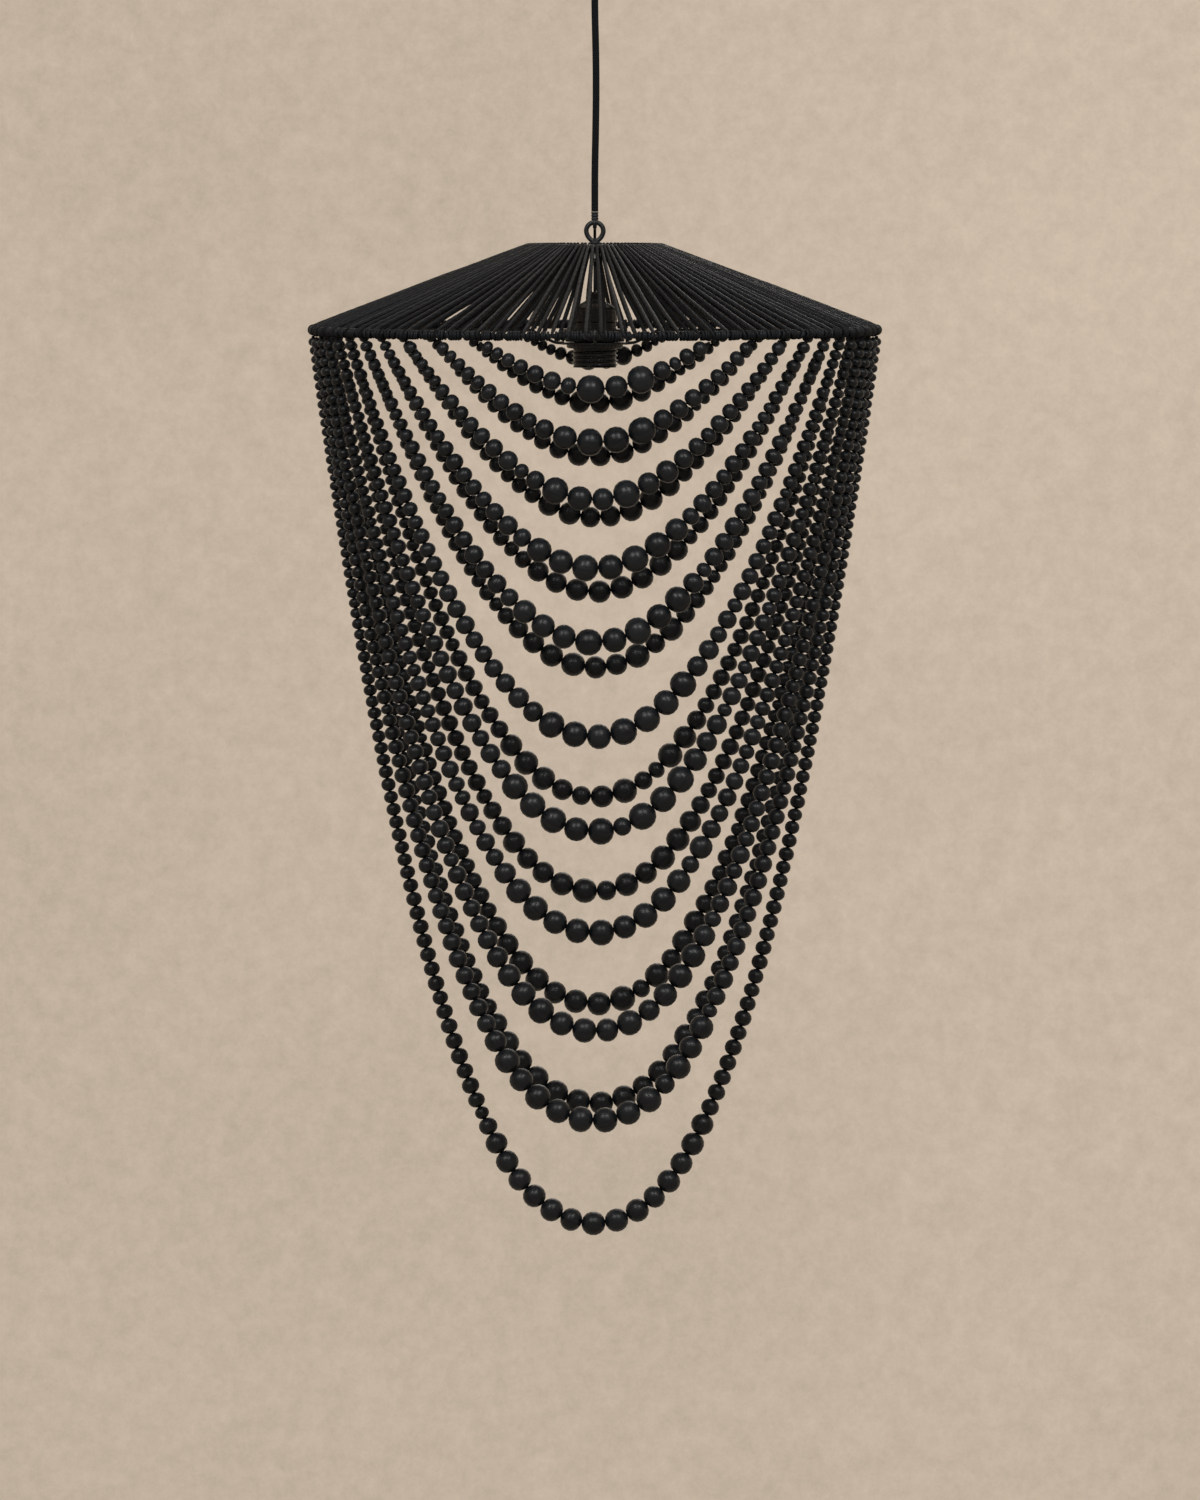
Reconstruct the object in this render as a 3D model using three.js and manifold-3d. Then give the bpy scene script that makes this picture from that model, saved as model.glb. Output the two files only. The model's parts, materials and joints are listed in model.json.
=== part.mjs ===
// Beaded chandelier: a wide cone shade wound with black paper cord on a welded wire frame.
// Twenty-one strands of graded wooden beads hang from the rim in parallel planes, as loaded chains.
// A textile cord with a hook carries the eye on top of the shade, and a ceiling cup covers the wiring.
// Millimetres, +Z up, the front faces -Y, and the origin is the middle of the face against the ceiling.
import * as THREE from "three";
import { mergeVertices } from "three/addons/utils/BufferGeometryUtils.js";
import Module from "manifold-3d";

const wasm = await Module();
wasm.setup();

// Driving dimensions of the whole lamp
const GAP = 0.3; // running clearance between pieces that touch
const HANG = 352; // from the ceiling down to the underside of the rim
const RIM_RADIUS = 245; // middle of the rim wire
const CROWN_RADIUS = 57.8; // middle of the top ring's wire
const CROWN_RISE = 70.8; // from the rim wire up to the top ring's wire
const DEEPEST = 775; // from the underside of the rim down to the lowest bead's middle

// Wire frame and its cord winding
const WIRE = 3.6; // both rings
const ROD = 2.6; // ribs and spider arms
const WRAP = 10.4; // outside of a wound ring
const WRAP_CLEARANCE = 0.6; // between a ring's wire and its winding
const PANELS = 8;
const SPOKES_PER_PANEL = 14;
const SPOKE_TOP = 2.6; // the cord is pressed thin where the spokes crowd at the top
const SPOKE_RIM = 4.1;
const SPOKE_SINK = 0.9; // how far a spoke's end lies inside the ring's winding
const SPOKE_LIFT_SHARE = 0.7; // 0 leaves the winding at its middle, and 1 along its outside
const SPOKE_SIDES = 3;
const RIM_STEPS = 5; // facets of one panel along the rim
const CROWN_STEPS = 3;
const WRAP_SIDES = 6;
const WIRE_SIDES = 6;

// Strands of beads: planes measured from the middle, and drops as shares of the deepest one
const PLANES_PER_RADIUS = 12.25; // planes of strands along one radius of the rim
const PLANE_STEP = RIM_RADIUS / PLANES_PER_RADIUS;
const FRONT_PLANE = RIM_RADIUS - PLANE_STEP; // outermost strand of the front half
const BACK_PLANE = RIM_RADIUS - PLANE_STEP / 2;
const MIDDLE_PLANE = 4; // the deepest strand is knotted beside a joint between two panels
const FRONT_DROP_SHARES = [0.052, 0.111, 0.175, 0.252, 0.335, 0.441, 0.548, 0.663, 0.775, 0.878];
const BACK_DROP_SHARES = [0.035, 0.083, 0.143, 0.212, 0.296, 0.381, 0.527, 0.633, 0.759, 0.87];
const BEADS = [21, 16.5, 14, 12.2, 10.4]; // five grades, from the lowest bead up to the rim
const GRADE_END_SHARES = [0.15, 0.38, 0.61, 0.77, 1]; // where each grade ends along a half strand
const DEPTH_SIZE_SHARE = 0.08; // how much larger the beads are at the front of the rim
const PITCH_SHARE = 0.97; // pitch of beads in diameters
const PAIR_BELOW = 15; // beads smaller than this are drawn two to a form
const THREAD = 1.6;
const WAIST_SHARE = 0.5; // narrow place between two beads, in diameters
const CORNER_SHARE = 0.58; // corner radius of a three-sided bead, in diameters
const BEAD_CLEARANCE = 0.6; // between the rim and the first bead

// Eye, hook and pendant cord
const EYE_WIRE = 4.2;
const EYE_RADIUS = 7.4; // middle of the loop's wire
const EYE_TIP = 1.6; // how far the loop is drawn down to a point
const EYE_MIDDLE = 91.3; // above the underside of the rim
const EYE_SHANK = 5.6;
const EYE_COLLAR = 9;
const EYE_COLLAR_HEIGHT = 2.2;
const HUB_RADIUS = 9;
const HUB_HEIGHT = 7;
const NUT_WIDTH = 10; // across flats
const NUT_HEIGHT = 5;
const SHANK_END = 3; // thread showing below the nut
const HOOK_WIRE = 3.6;
const HOOK_SLEEVE = 6.4;
const HOOK_SLEEVE_LENGTH = 12;
const HOOK_TURN = Math.PI; // how far the hook's wire bends round the eye's wire
const CORD = 6;
const CORD_SIDES = 8;
const CORD_STEPS = 16;
// Route of the taut cord from the strain relief down to the hook, with its slight bow
const CORD_ROUTE = [
  [0, 0, -52.3],
  [0, 0.3, -64],
  [0.2, 0.7, -77],
  [0.5, 1.0, -90],
  [0.8, 1.4, -103],
  [1.0, 1.8, -116],
  [1.1, 2.2, -129],
  [1.1, 2.6, -142],
  [1.0, 2.9, -155],
  [0.8, 3.3, -168],
  [0.6, 3.7, -181],
  [0.3, 4.1, -194],
  [0.1, 4.5, -207],
  [0, 4.9, -220],
  [0, 5.3, -233],
  [0, 5.6, -244.1],
];

// Lampholder, measured from the underside of the rim
const SOCKET_BORE = 27; // inside the threaded shell
const SHELL_WALL = 0.8;
const SHELL_LENGTH = 21;
const BODY_WIDTH = 37;
const BODY_BOTTOM = -27;
const BODY_TOP = 12;
const BODY_END_WIDTH = 36.4; // the body's mouth
const BODY_WALL_CLEARANCE = 0.5;
const THREAD_WIDTH = 40;
const THREAD_PITCH = 4;
const THREADS = 4;
const CAP_HEIGHT = 26;
const CAP_NECK = 14;
const CAP_SHOULDER_SHARE = 0.45; // height where the cap starts to draw in
const CAP_THROAT_SHARE = 0.75; // height where its neck starts
const CAP_WALL = 2.4;
const INSULATOR_HEIGHT = 10;
const TONGUE_WIDTH = 8;
const TONGUE_HEIGHT = 3.4;
const CARRIER_THICKNESS = 1.6;
const CARRIER_WIDTH = 58;
const CARRIER_LEVEL = -6.8; // underside of the carrier ring
const UPPER_RING_HEIGHT = 11;
const UPPER_RING_LIP = 7.7; // width of the upper ring round its bore
const UPPER_RING_LOW_LIP = 5.2; // the same at its lower end
const LOWER_RING_HEIGHT = 3.6;
const LOWER_RING_LIP = 4.2; // width of the lower ring round its bore
const LOWER_RING_CHAMFER = 1.2;
const ARM_DIP_START = 56; // radius where an arm leaves the rim's level
const ARM_DIP_MIDDLE = 45;
const ARM_DIP_END = 33;
const LEAD = 4.4;
const LEAD_CLEARANCE = 1.2; // between the lead and the hook's sleeve, which turns past it
const LEAD_BEND_SHARES = [[0.9, 0.8], [0.55, 0.55], [0.2, 0.35]]; // its easy bend over the cap

// Ceiling cup and its fittings
const CUP_RADIUS = 50;
const CUP_HEIGHT = 26;
const CUP_WALL = 1.4;
const CUP_ROUND = 8; // radius of the cup's lower edge
const BAR_WIDTH = 18;
const BAR_THICKNESS = 2;
const BAR_HOLE = 5;
const BAR_HOLE_OFFSET = 27; // middle of each fixing hole from the middle of the bar
const EAR_HEIGHT = 14;
const CUP_SCREW = 3; // shank
const CUP_SCREW_HEAD = 7;
const CUP_SCREW_CROWN = 4.9; // flat end of the head
const CUP_SCREW_HEAD_HEIGHT = 1.8;
const CUP_SCREW_LENGTH = 9.4; // under the head
const SCREW_DEPTH_SHARE = 0.67; // place of the cup screws down the ears
const GRIP_WIDTH = 18;
const GRIP_MOUTH = 9.6;
const GRIP_LENGTH = 25.7;
const GRIP_COLLAR = 8.7; // straight upper part of the grip
const GRIP_NUT_WIDTH = 16;
const GRIP_NUT_HEIGHT = 4;
const GRIP_NECK = 10;
const BLOCK_LENGTH = 26;
const BLOCK_WIDTH = 14;
const BLOCK_HEIGHT = 9;
const TAIL_CLEARANCE = 1; // between the turning cord's end and the fixed tail

// Facets and numeric limits that aren't sizes of the object
const CUP_STEPS = 20;
const HOLDER_STEPS = 16;
const SMALL_STEPS = 12;
const ROD_SIDES = 6;
const HEX_SIDES = 6;
const LOOP_STEPS = 20;
const ROUNDING_STEPS = 2;
const HOOK_STEPS = 8;
const CHAIN_STEPS = 300;
const BISECTIONS = 60;
const PULL_RANGE = 1e4; // the pulls tried lie within this many times the strand's load, and its inverse
const STRAND_CORNERS = 3;
const OVERRUN = 2; // how far a cutter passes through what it cuts
const WELD = 0.05; // corners of a joined body that lie nearer than this become one

const black = { color: 0x17171a };
const cordMaterial = new THREE.MeshStandardMaterial({ ...black, roughness: 0.9 });
const beadMaterial = new THREE.MeshStandardMaterial({ color: 0x1c1d1f, roughness: 0.55 });
const paintedSteel = new THREE.MeshStandardMaterial({ ...black, roughness: 0.45, metalness: 0.6 });
const zincSteel = new THREE.MeshStandardMaterial({ color: 0x9a9da0, roughness: 0.4, metalness: 0.9 });
const brass = new THREE.MeshStandardMaterial({ color: 0xb08d4a, roughness: 0.35, metalness: 1 });
const moulded = new THREE.MeshStandardMaterial({ color: 0x141416, roughness: 0.4 });
const porcelain = new THREE.MeshStandardMaterial({ color: 0xe8e6df, roughness: 0.3 });
const whitePlastic = new THREE.MeshStandardMaterial({ color: 0xe0e0dc, roughness: 0.5 });

// Turns a closed geometry into a solid that can be joined and cut.
function solid(geometry) {
  const bare = geometry.clone();
  bare.deleteAttribute("normal");
  bare.deleteAttribute("uv");
  const merged = mergeVertices(bare);
  return new wasm.Manifold(
    new wasm.Mesh({
      numProp: 3,
      vertProperties: merged.attributes.position.array,
      triVerts: new Uint32Array(merged.index.array),
    }),
  );
}

// Turns a solid back into a geometry, where corners that lie almost on each other become one.
function surface(made) {
  const mesh = made.getMesh();
  const corners = [];
  const kept = Array.from({ length: mesh.numVert }, (_, i) => {
    const corner = new THREE.Vector3().fromArray(mesh.vertProperties, i * mesh.numProp);
    const known = corners.findIndex((other) => other.distanceTo(corner) < WELD);
    return known < 0 ? corners.push(corner) - 1 : known;
  });
  const faces = [];
  for (let i = 0; i < mesh.triVerts.length; i += 3) {
    const face = Array.from(mesh.triVerts.subarray(i, i + 3), (corner) => kept[corner]);
    if (new Set(face).size === 3) faces.push(...face);
  }
  const positions = corners.flatMap((corner) => corner.toArray());
  const geometry = new THREE.BufferGeometry();
  geometry.setAttribute("position", new THREE.Float32BufferAttribute(positions, 3));
  return geometry.setIndex(faces);
}

const joined = (...geometries) => surface(geometries.map(solid).reduce((a, b) => a.add(b)));
const cut = (body, ...cutters) => surface(cutters.map(solid).reduce((a, b) => a.subtract(b), solid(body)));

// A body turned about Z from a list of [radius, height], closed on itself or on the axis.
function turned(profile, steps = HOLDER_STEPS) {
  const points = profile.map(([radius, height]) => new THREE.Vector2(radius, height));
  return new THREE.LatheGeometry(points, steps).rotateX(Math.PI / 2);
}

// A turned tube: inner and outer radius between two heights.
function sleeve(inner, outer, low, high, steps = HOLDER_STEPS) {
  return turned([[inner, low], [outer, low], [outer, high], [inner, high], [inner, low]], steps);
}

// A turned plug between two heights.
function plug(radius, low, high, steps = HOLDER_STEPS) {
  return turned([[0, low], [radius, low], [radius, high], [0, high]], steps);
}

// A hexagonal nut of a width across its flats, bored to pass over a shank.
function hexNut(width, shank, low, height) {
  const corner = cornerRadius(width, HEX_SIDES);
  const outside = new THREE.CylinderGeometry(corner, corner, height, HEX_SIDES).rotateX(Math.PI / 2);
  const drill = plug(shank / 2 + GAP, low - OVERRUN, low + height + OVERRUN, SMALL_STEPS);
  return cut(outside.translate(0, 0, low + height / 2), drill);
}

// A straight round bar from one point to another, its diameter free at each end.
function bar(from, to, startWidth, endWidth = startWidth, sides = ROD_SIDES) {
  const along = new THREE.Vector3().subVectors(to, from);
  const geometry = new THREE.CylinderGeometry(endWidth / 2, startWidth / 2, along.length(), sides);
  const upright = new THREE.Vector3(0, 1, 0);
  geometry.applyQuaternion(new THREE.Quaternion().setFromUnitVectors(upright, along.normalize()));
  const middle = new THREE.Vector3().addVectors(from, to).multiplyScalar(0.5);
  return geometry.translate(middle.x, middle.y, middle.z);
}

// Distance from the middle of a regular section to its corners, where its flats lie the given width apart.
const cornerRadius = (width, sides) => width / 2 / Math.cos(Math.PI / sides);

// Corners of such a section, turned by an angle.
function sectionPoints(width, sides, turn = 0) {
  const corner = cornerRadius(width, sides);
  return Array.from({ length: sides }, (_, i) => {
    const angle = ((i + 0.5) * 2 * Math.PI) / sides + turn;
    return new THREE.Vector2(corner * Math.cos(angle), corner * Math.sin(angle));
  });
}

// A tube of regular section along a curve, with a bore along it where one is given.
function tube(curve, width, sides, steps, bore = 0, turn = 0) {
  const section = new THREE.Shape(sectionPoints(width, sides, turn));
  if (bore) section.holes.push(new THREE.Path(sectionPoints(bore, WIRE_SIDES).reverse()));
  return new THREE.ExtrudeGeometry(section, { steps, extrudePath: curve, bevelEnabled: false });
}

// A body swept along a flat path: each station has a place, a direction, a corner radius and a turn.
function swept(stations, normal, sides, closed = false) {
  const positions = stations.flatMap(({ place, along, radius, turn = 0 }) => {
    const across = new THREE.Vector3().crossVectors(normal, along).normalize();
    return Array.from({ length: sides }, (_, k) => {
      const angle = turn + (k * 2 * Math.PI) / sides;
      const corner = place.clone().addScaledVector(normal, radius * Math.cos(angle));
      return corner.addScaledVector(across, radius * Math.sin(angle)).toArray();
    }).flat();
  });
  const faces = [];
  const count = stations.length;
  for (let i = 0; i < (closed ? count : count - 1); i++) {
    for (let k = 0; k < sides; k++) {
      const [a, b] = [i * sides + k, i * sides + ((k + 1) % sides)];
      const [c, d] = [a, b].map((corner) => (corner + sides) % (count * sides));
      faces.push(a, c, b, b, c, d);
    }
  }
  const last = (count - 1) * sides;
  for (let k = 1; k < sides - 1 && !closed; k++) faces.push(0, k, k + 1, last, last + k + 1, last + k);
  const geometry = new THREE.BufferGeometry();
  geometry.setAttribute("position", new THREE.Float32BufferAttribute(positions, 3));
  return geometry.setIndex(faces);
}

// Stations of a bent wire through its corners, each facing the mean of both directions there.
function wireStations(places, width, sides) {
  const radius = cornerRadius(width, sides);
  return places.map((place, i) => {
    const before = places[Math.max(i - 1, 0)];
    const after = places[Math.min(i + 1, places.length - 1)];
    const along = new THREE.Vector3().subVectors(after, place).normalize();
    along.add(new THREE.Vector3().subVectors(place, before).normalize()).normalize();
    return { place, along, radius };
  });
}

// A level arc round the Z axis.
class Arc extends THREE.Curve {
  constructor(radius, height, start, end) {
    super();
    Object.assign(this, { radius, height, start, end });
  }
  getPoint(share, target = new THREE.Vector3()) {
    const angle = this.start + share * (this.end - this.start);
    return target.set(this.radius * Math.cos(angle), this.radius * Math.sin(angle), this.height);
  }
}

// A closed ring of wire round the Z axis.
function wireRing(radius, height, width, steps) {
  const section = sectionPoints(width, WIRE_SIDES).map((p) => [radius + p.x, height + p.y]);
  return turned([...section, section[0]], steps);
}

const polar = (radius, angle, height) =>
  new THREE.Vector3(radius * Math.cos(angle), radius * Math.sin(angle), height);

const root = new THREE.Group();
const lamp = new THREE.Group();
lamp.position.z = -HANG;
root.add(lamp);

function add(group, name, geometry, material) {
  const mesh = new THREE.Mesh(geometry, material);
  mesh.name = name;
  group.add(mesh);
}

// Shade: both rings and the slope between them, from the underside of the rim
const RIM_LEVEL = WRAP / 2;
const CROWN_LEVEL = RIM_LEVEL + CROWN_RISE;
const SLOPE_LENGTH = Math.hypot(RIM_RADIUS - CROWN_RADIUS, CROWN_RISE);
const SLOPE_OUT = (RIM_RADIUS - CROWN_RADIUS) / SLOPE_LENGTH;
const SLOPE_DOWN = CROWN_RISE / SLOPE_LENGTH;
const PANEL_ANGLE = (2 * Math.PI) / PANELS;
// Turns each winding so that one of its flats faces the raised ends of the spokes
const SLOPE_TURN = Math.PI / WRAP_SIDES - Math.atan2(SLOPE_OUT, SLOPE_DOWN);
const WINDING_BORE = WIRE + 2 * WRAP_CLEARANCE;
const RIB_SLOT = ROD + 2 * GAP;

// A point of the shade: distance down the slope from the top ring, and distance out of it.
function onSlope(down, out, angle) {
  const radius = CROWN_RADIUS + down * SLOPE_OUT + out * SLOPE_DOWN;
  return polar(radius, angle, CROWN_LEVEL - down * SLOPE_DOWN + out * SLOPE_OUT);
}

// End of a spoke, raised towards the outside of its ring's winding. Side is 1 below the ring and -1 above it.
function spokeEnd(width, ring, side) {
  const out = ((WRAP - width) / 2) * SPOKE_LIFT_SHARE;
  const inset = Math.sqrt((WRAP / 2 - SPOKE_SINK) ** 2 - out ** 2);
  return onSlope(ring + side * inset, out, 0);
}

// One panel: cord wound round its stretch of both rings, and the spokes between them.
function cordPanel(index) {
  const start = index * PANEL_ANGLE;
  const winding = (radius, height, steps) => {
    const trim = RIB_SLOT / 2 / radius;
    const arc = new Arc(radius, height, start + trim, start + PANEL_ANGLE - trim);
    return tube(arc, WRAP, WRAP_SIDES, steps, WINDING_BORE, SLOPE_TURN);
  };
  const spokes = Array.from({ length: SPOKES_PER_PANEL }, (_, i) => {
    const angle = start + ((i + 1) * PANEL_ANGLE) / (SPOKES_PER_PANEL + 1);
    const from = spokeEnd(SPOKE_TOP, 0, 1);
    const to = spokeEnd(SPOKE_RIM, SLOPE_LENGTH, -1);
    return bar(from, to, SPOKE_TOP, SPOKE_RIM, SPOKE_SIDES).rotateZ(angle);
  });
  const rimWinding = winding(RIM_RADIUS, RIM_LEVEL, RIM_STEPS);
  return joined(rimWinding, winding(CROWN_RADIUS, CROWN_LEVEL, CROWN_STEPS), ...spokes);
}

// A rib of the frame, from the top ring's wire down to the rim's wire.
function rib(angle) {
  const inset = cornerRadius(WIRE, WIRE_SIDES) + GAP;
  return bar(onSlope(inset, 0, angle), onSlope(SLOPE_LENGTH - inset, 0, angle), ROD);
}

add(lamp, "rim_ring", wireRing(RIM_RADIUS, RIM_LEVEL, WIRE, PANELS * RIM_STEPS), paintedSteel);
add(lamp, "top_ring", wireRing(CROWN_RADIUS, CROWN_LEVEL, WIRE, PANELS * CROWN_STEPS), paintedSteel);
for (let i = 0; i < PANELS; i++) add(lamp, `cord_panel_${i + 1}`, cordPanel(i), cordMaterial);
// Ribs stand at every other gap between panels, and the holder's arms at the gaps between them
const ribAngles = Array.from({ length: PANELS / 2 }, (_, i) => (2 * i + 1) * PANEL_ANGLE);
const armAngles = Array.from({ length: PANELS / 2 }, (_, i) => 2 * i * PANEL_ANGLE);
ribAngles.forEach((angle, i) => add(lamp, `frame_rib_${i + 1}`, rib(angle), paintedSteel));

// Top spider: a bored hub on four arms that reach the top ring's wire
const HUB_BOTTOM = CROWN_LEVEL - HUB_HEIGHT / 2;
const HUB_TOP = CROWN_LEVEL + HUB_HEIGHT / 2;
function topSpider() {
  const reach = CROWN_RADIUS - WIRE / 2 - GAP;
  const arms = ribAngles.map((angle) =>
    bar(polar((HUB_RADIUS + EYE_SHANK / 2) / 2, angle, CROWN_LEVEL), polar(reach, angle, CROWN_LEVEL), ROD),
  );
  const hub = joined(plug(HUB_RADIUS, HUB_BOTTOM, HUB_TOP, SMALL_STEPS), ...arms);
  return cut(hub, plug(EYE_SHANK / 2 + GAP, HUB_BOTTOM - OVERRUN, HUB_TOP + OVERRUN, SMALL_STEPS));
}
add(lamp, "top_spider", topSpider(), paintedSteel);

// Loop of the eye: a circle drawn down to a point where both legs meet the collar.
function eyeLoop() {
  const places = Array.from({ length: LOOP_STEPS }, (_, i) => {
    const angle = (i * 2 * Math.PI) / LOOP_STEPS;
    const drawn = EYE_TIP * Math.max(0, -Math.sin(angle)) ** 3;
    const level = EYE_MIDDLE + EYE_RADIUS * Math.sin(angle) - drawn;
    return new THREE.Vector3(EYE_RADIUS * Math.cos(angle), 0, level);
  });
  const stations = places.map((place, i) => {
    const before = places.at(i - 1);
    const after = places[(i + 1) % LOOP_STEPS];
    return { place, along: new THREE.Vector3().subVectors(after, before).normalize(), radius: EYE_WIRE / 2 };
  });
  return swept(stations, new THREE.Vector3(0, -1, 0), ROD_SIDES, true);
}

function eyeBolt() {
  const bottom = HUB_BOTTOM - GAP - NUT_HEIGHT - SHANK_END;
  const collar = HUB_TOP + GAP;
  const shank = turned(
    [
      [0, bottom],
      [EYE_SHANK / 2, bottom],
      [EYE_SHANK / 2, collar],
      [EYE_COLLAR / 2, collar],
      [EYE_COLLAR / 2, collar + EYE_COLLAR_HEIGHT],
      [0, collar + EYE_COLLAR_HEIGHT + EYE_WIRE / 2],
    ],
    SMALL_STEPS,
  );
  return joined(shank, eyeLoop());
}
add(lamp, "eye_bolt", eyeBolt(), paintedSteel);

const EYE_NUT_BOTTOM = HUB_BOTTOM - GAP - NUT_HEIGHT;
add(lamp, "eye_nut", hexNut(NUT_WIDTH, EYE_SHANK, EYE_NUT_BOTTOM, NUT_HEIGHT), zincSteel);

// Lampholder, from the carrier ring that the four arms hold
const CARRIER_TOP = CARRIER_LEVEL + CARRIER_THICKNESS;
const NUT_BORE = THREAD_WIDTH / 2 + GAP;
function holderSpider() {
  const reach = RIM_RADIUS - WIRE / 2 - GAP;
  const level = (CARRIER_LEVEL + CARRIER_TOP) / 2;
  const arms = armAngles.map((angle) => {
    const places = [
      polar(reach, angle, RIM_LEVEL),
      polar(ARM_DIP_START, angle, RIM_LEVEL),
      polar(ARM_DIP_MIDDLE, angle, (RIM_LEVEL + level) / 2),
      polar(ARM_DIP_END, angle, level),
      polar(NUT_BORE + UPPER_RING_LOW_LIP + ROD / 2, angle, level),
    ];
    const normal = new THREE.Vector3(-Math.sin(angle), Math.cos(angle), 0);
    return swept(wireStations(places, ROD, ROD_SIDES), normal, ROD_SIDES);
  });
  const ring = sleeve(NUT_BORE, CARRIER_WIDTH / 2, CARRIER_LEVEL, CARRIER_TOP);
  return joined(ring, ...arms);
}
add(lamp, "holder_spider", holderSpider(), paintedSteel);

// Threaded rings that clamp the carrier between them.
function upperRing() {
  const low = CARRIER_TOP + GAP;
  const high = low + UPPER_RING_HEIGHT;
  return turned([
    [NUT_BORE, low],
    [NUT_BORE + UPPER_RING_LOW_LIP, low],
    [NUT_BORE + UPPER_RING_LIP, high - WIRE],
    [NUT_BORE + UPPER_RING_LIP, high],
    [NUT_BORE, high],
    [NUT_BORE, low],
  ]);
}
function lowerRing() {
  const high = CARRIER_LEVEL - GAP;
  const low = high - LOWER_RING_HEIGHT;
  const edge = NUT_BORE + LOWER_RING_LIP;
  return turned([
    [NUT_BORE, low],
    [edge - LOWER_RING_CHAMFER, low],
    [edge, low + LOWER_RING_CHAMFER],
    [edge, high],
    [NUT_BORE, high],
    [NUT_BORE, low],
  ]);
}
add(lamp, "upper_shade_ring", upperRing(), moulded);
add(lamp, "lower_shade_ring", lowerRing(), moulded);

// Body with its outer thread ridges below the lower ring, and a stepped bore.
const SHELL_OUTER = SOCKET_BORE / 2 + SHELL_WALL;
const BODY_BORE = SHELL_OUTER + BODY_WALL_CLEARANCE;
function holderBody() {
  const ridgeTop = CARRIER_LEVEL - GAP - LOWER_RING_HEIGHT - GAP;
  const core = BODY_WIDTH / 2;
  const crest = THREAD_WIDTH / 2;
  const outline = [[BODY_BORE, BODY_BOTTOM], [BODY_END_WIDTH / 2, BODY_BOTTOM]];
  for (let i = THREADS - 1; i >= 0; i--) {
    const middle = ridgeTop - (i + 0.5) * THREAD_PITCH;
    outline.push([core, middle - THREAD_PITCH / 2]);
    outline.push([crest, middle - THREAD_PITCH / 4]);
    outline.push([crest, middle + THREAD_PITCH / 4]);
  }
  outline.push([core, ridgeTop]);
  outline.push([core, BODY_TOP]);
  outline.push([BODY_BORE, BODY_TOP]);
  outline.push([BODY_BORE, BODY_BOTTOM]);
  return turned(outline);
}
add(lamp, "holder_body", holderBody(), moulded);

// Contacts and insulator inside the body, from its top downwards
const INSULATOR_TOP = BODY_TOP - GAP;
const INSULATOR_BOTTOM = INSULATOR_TOP - INSULATOR_HEIGHT;
const SHELL_TOP = INSULATOR_BOTTOM - GAP;
const insulator = plug(SHELL_OUTER, INSULATOR_BOTTOM, INSULATOR_TOP);
add(lamp, "holder_insulator", insulator, porcelain);
const shell = sleeve(SOCKET_BORE / 2, SHELL_OUTER, SHELL_TOP - SHELL_LENGTH, SHELL_TOP);
add(lamp, "shell_contact", shell, brass);
const tongue = turned(
  [
    [0, SHELL_TOP - TONGUE_HEIGHT],
    [TONGUE_WIDTH / 4, SHELL_TOP - TONGUE_HEIGHT],
    [TONGUE_WIDTH / 2, SHELL_TOP],
    [0, SHELL_TOP],
  ],
  SMALL_STEPS,
);
add(lamp, "centre_contact", tongue, brass);

// Domed cap over the terminals, with the lead's hole in its neck.
const CAP_BOTTOM = BODY_TOP + GAP;
const CAP_TOP = CAP_BOTTOM + CAP_HEIGHT;
function holderCap() {
  const wide = BODY_WIDTH / 2;
  const neck = CAP_NECK / 2;
  const hole = cornerRadius(LEAD, ROD_SIDES) / Math.cos(Math.PI / HOLDER_STEPS) + GAP;
  const shoulder = CAP_BOTTOM + CAP_HEIGHT * CAP_SHOULDER_SHARE;
  const throat = CAP_BOTTOM + CAP_HEIGHT * CAP_THROAT_SHARE;
  return turned([
    [wide - CAP_WALL, CAP_BOTTOM],
    [wide, CAP_BOTTOM],
    [wide, shoulder],
    [neck, throat],
    [neck, CAP_TOP],
    [hole, CAP_TOP],
    [hole, throat],
    [wide - CAP_WALL, shoulder - CAP_WALL],
    [wide - CAP_WALL, CAP_BOTTOM],
  ]);
}
add(lamp, "holder_cap", holderCap(), moulded);

// Hook under the eye's top wire; its sleeve continues the cord behind the eye
const EYE_TOP_WIRE = EYE_MIDDLE + EYE_RADIUS;
const HOOK_BACK = EYE_WIRE / 2 + GAP + HOOK_SLEEVE / 2;
const HOOK_BEND = EYE_WIRE / 2 + GAP + cornerRadius(HOOK_WIRE, ROD_SIDES);
const SLEEVE_BOTTOM = EYE_TOP_WIRE - EYE_WIRE / 4;
const SLEEVE_TOP = SLEEVE_BOTTOM + HOOK_SLEEVE_LENGTH - EYE_WIRE / 2;

// The hook's wire: straight down from the sleeve, then round under the eye's wire to its tip.
function hookWire() {
  const places = [new THREE.Vector3(0, HOOK_BEND, EYE_TOP_WIRE + HOOK_WIRE)];
  for (let i = 0; i <= HOOK_STEPS; i++) {
    const angle = (i / HOOK_STEPS) * HOOK_TURN;
    places.push(
      new THREE.Vector3(0, HOOK_BEND * Math.cos(angle), EYE_TOP_WIRE - HOOK_BEND * Math.sin(angle)),
    );
  }
  return swept(wireStations(places, HOOK_WIRE, ROD_SIDES), new THREE.Vector3(1, 0, 0), ROD_SIDES);
}

function cordHook() {
  const holding = plug(HOOK_SLEEVE / 2, SLEEVE_BOTTOM, SLEEVE_TOP, SMALL_STEPS);
  return joined(hookWire(), holding.translate(0, HOOK_BACK, 0));
}
add(lamp, "cord_hook", cordHook(), paintedSteel);

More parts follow.
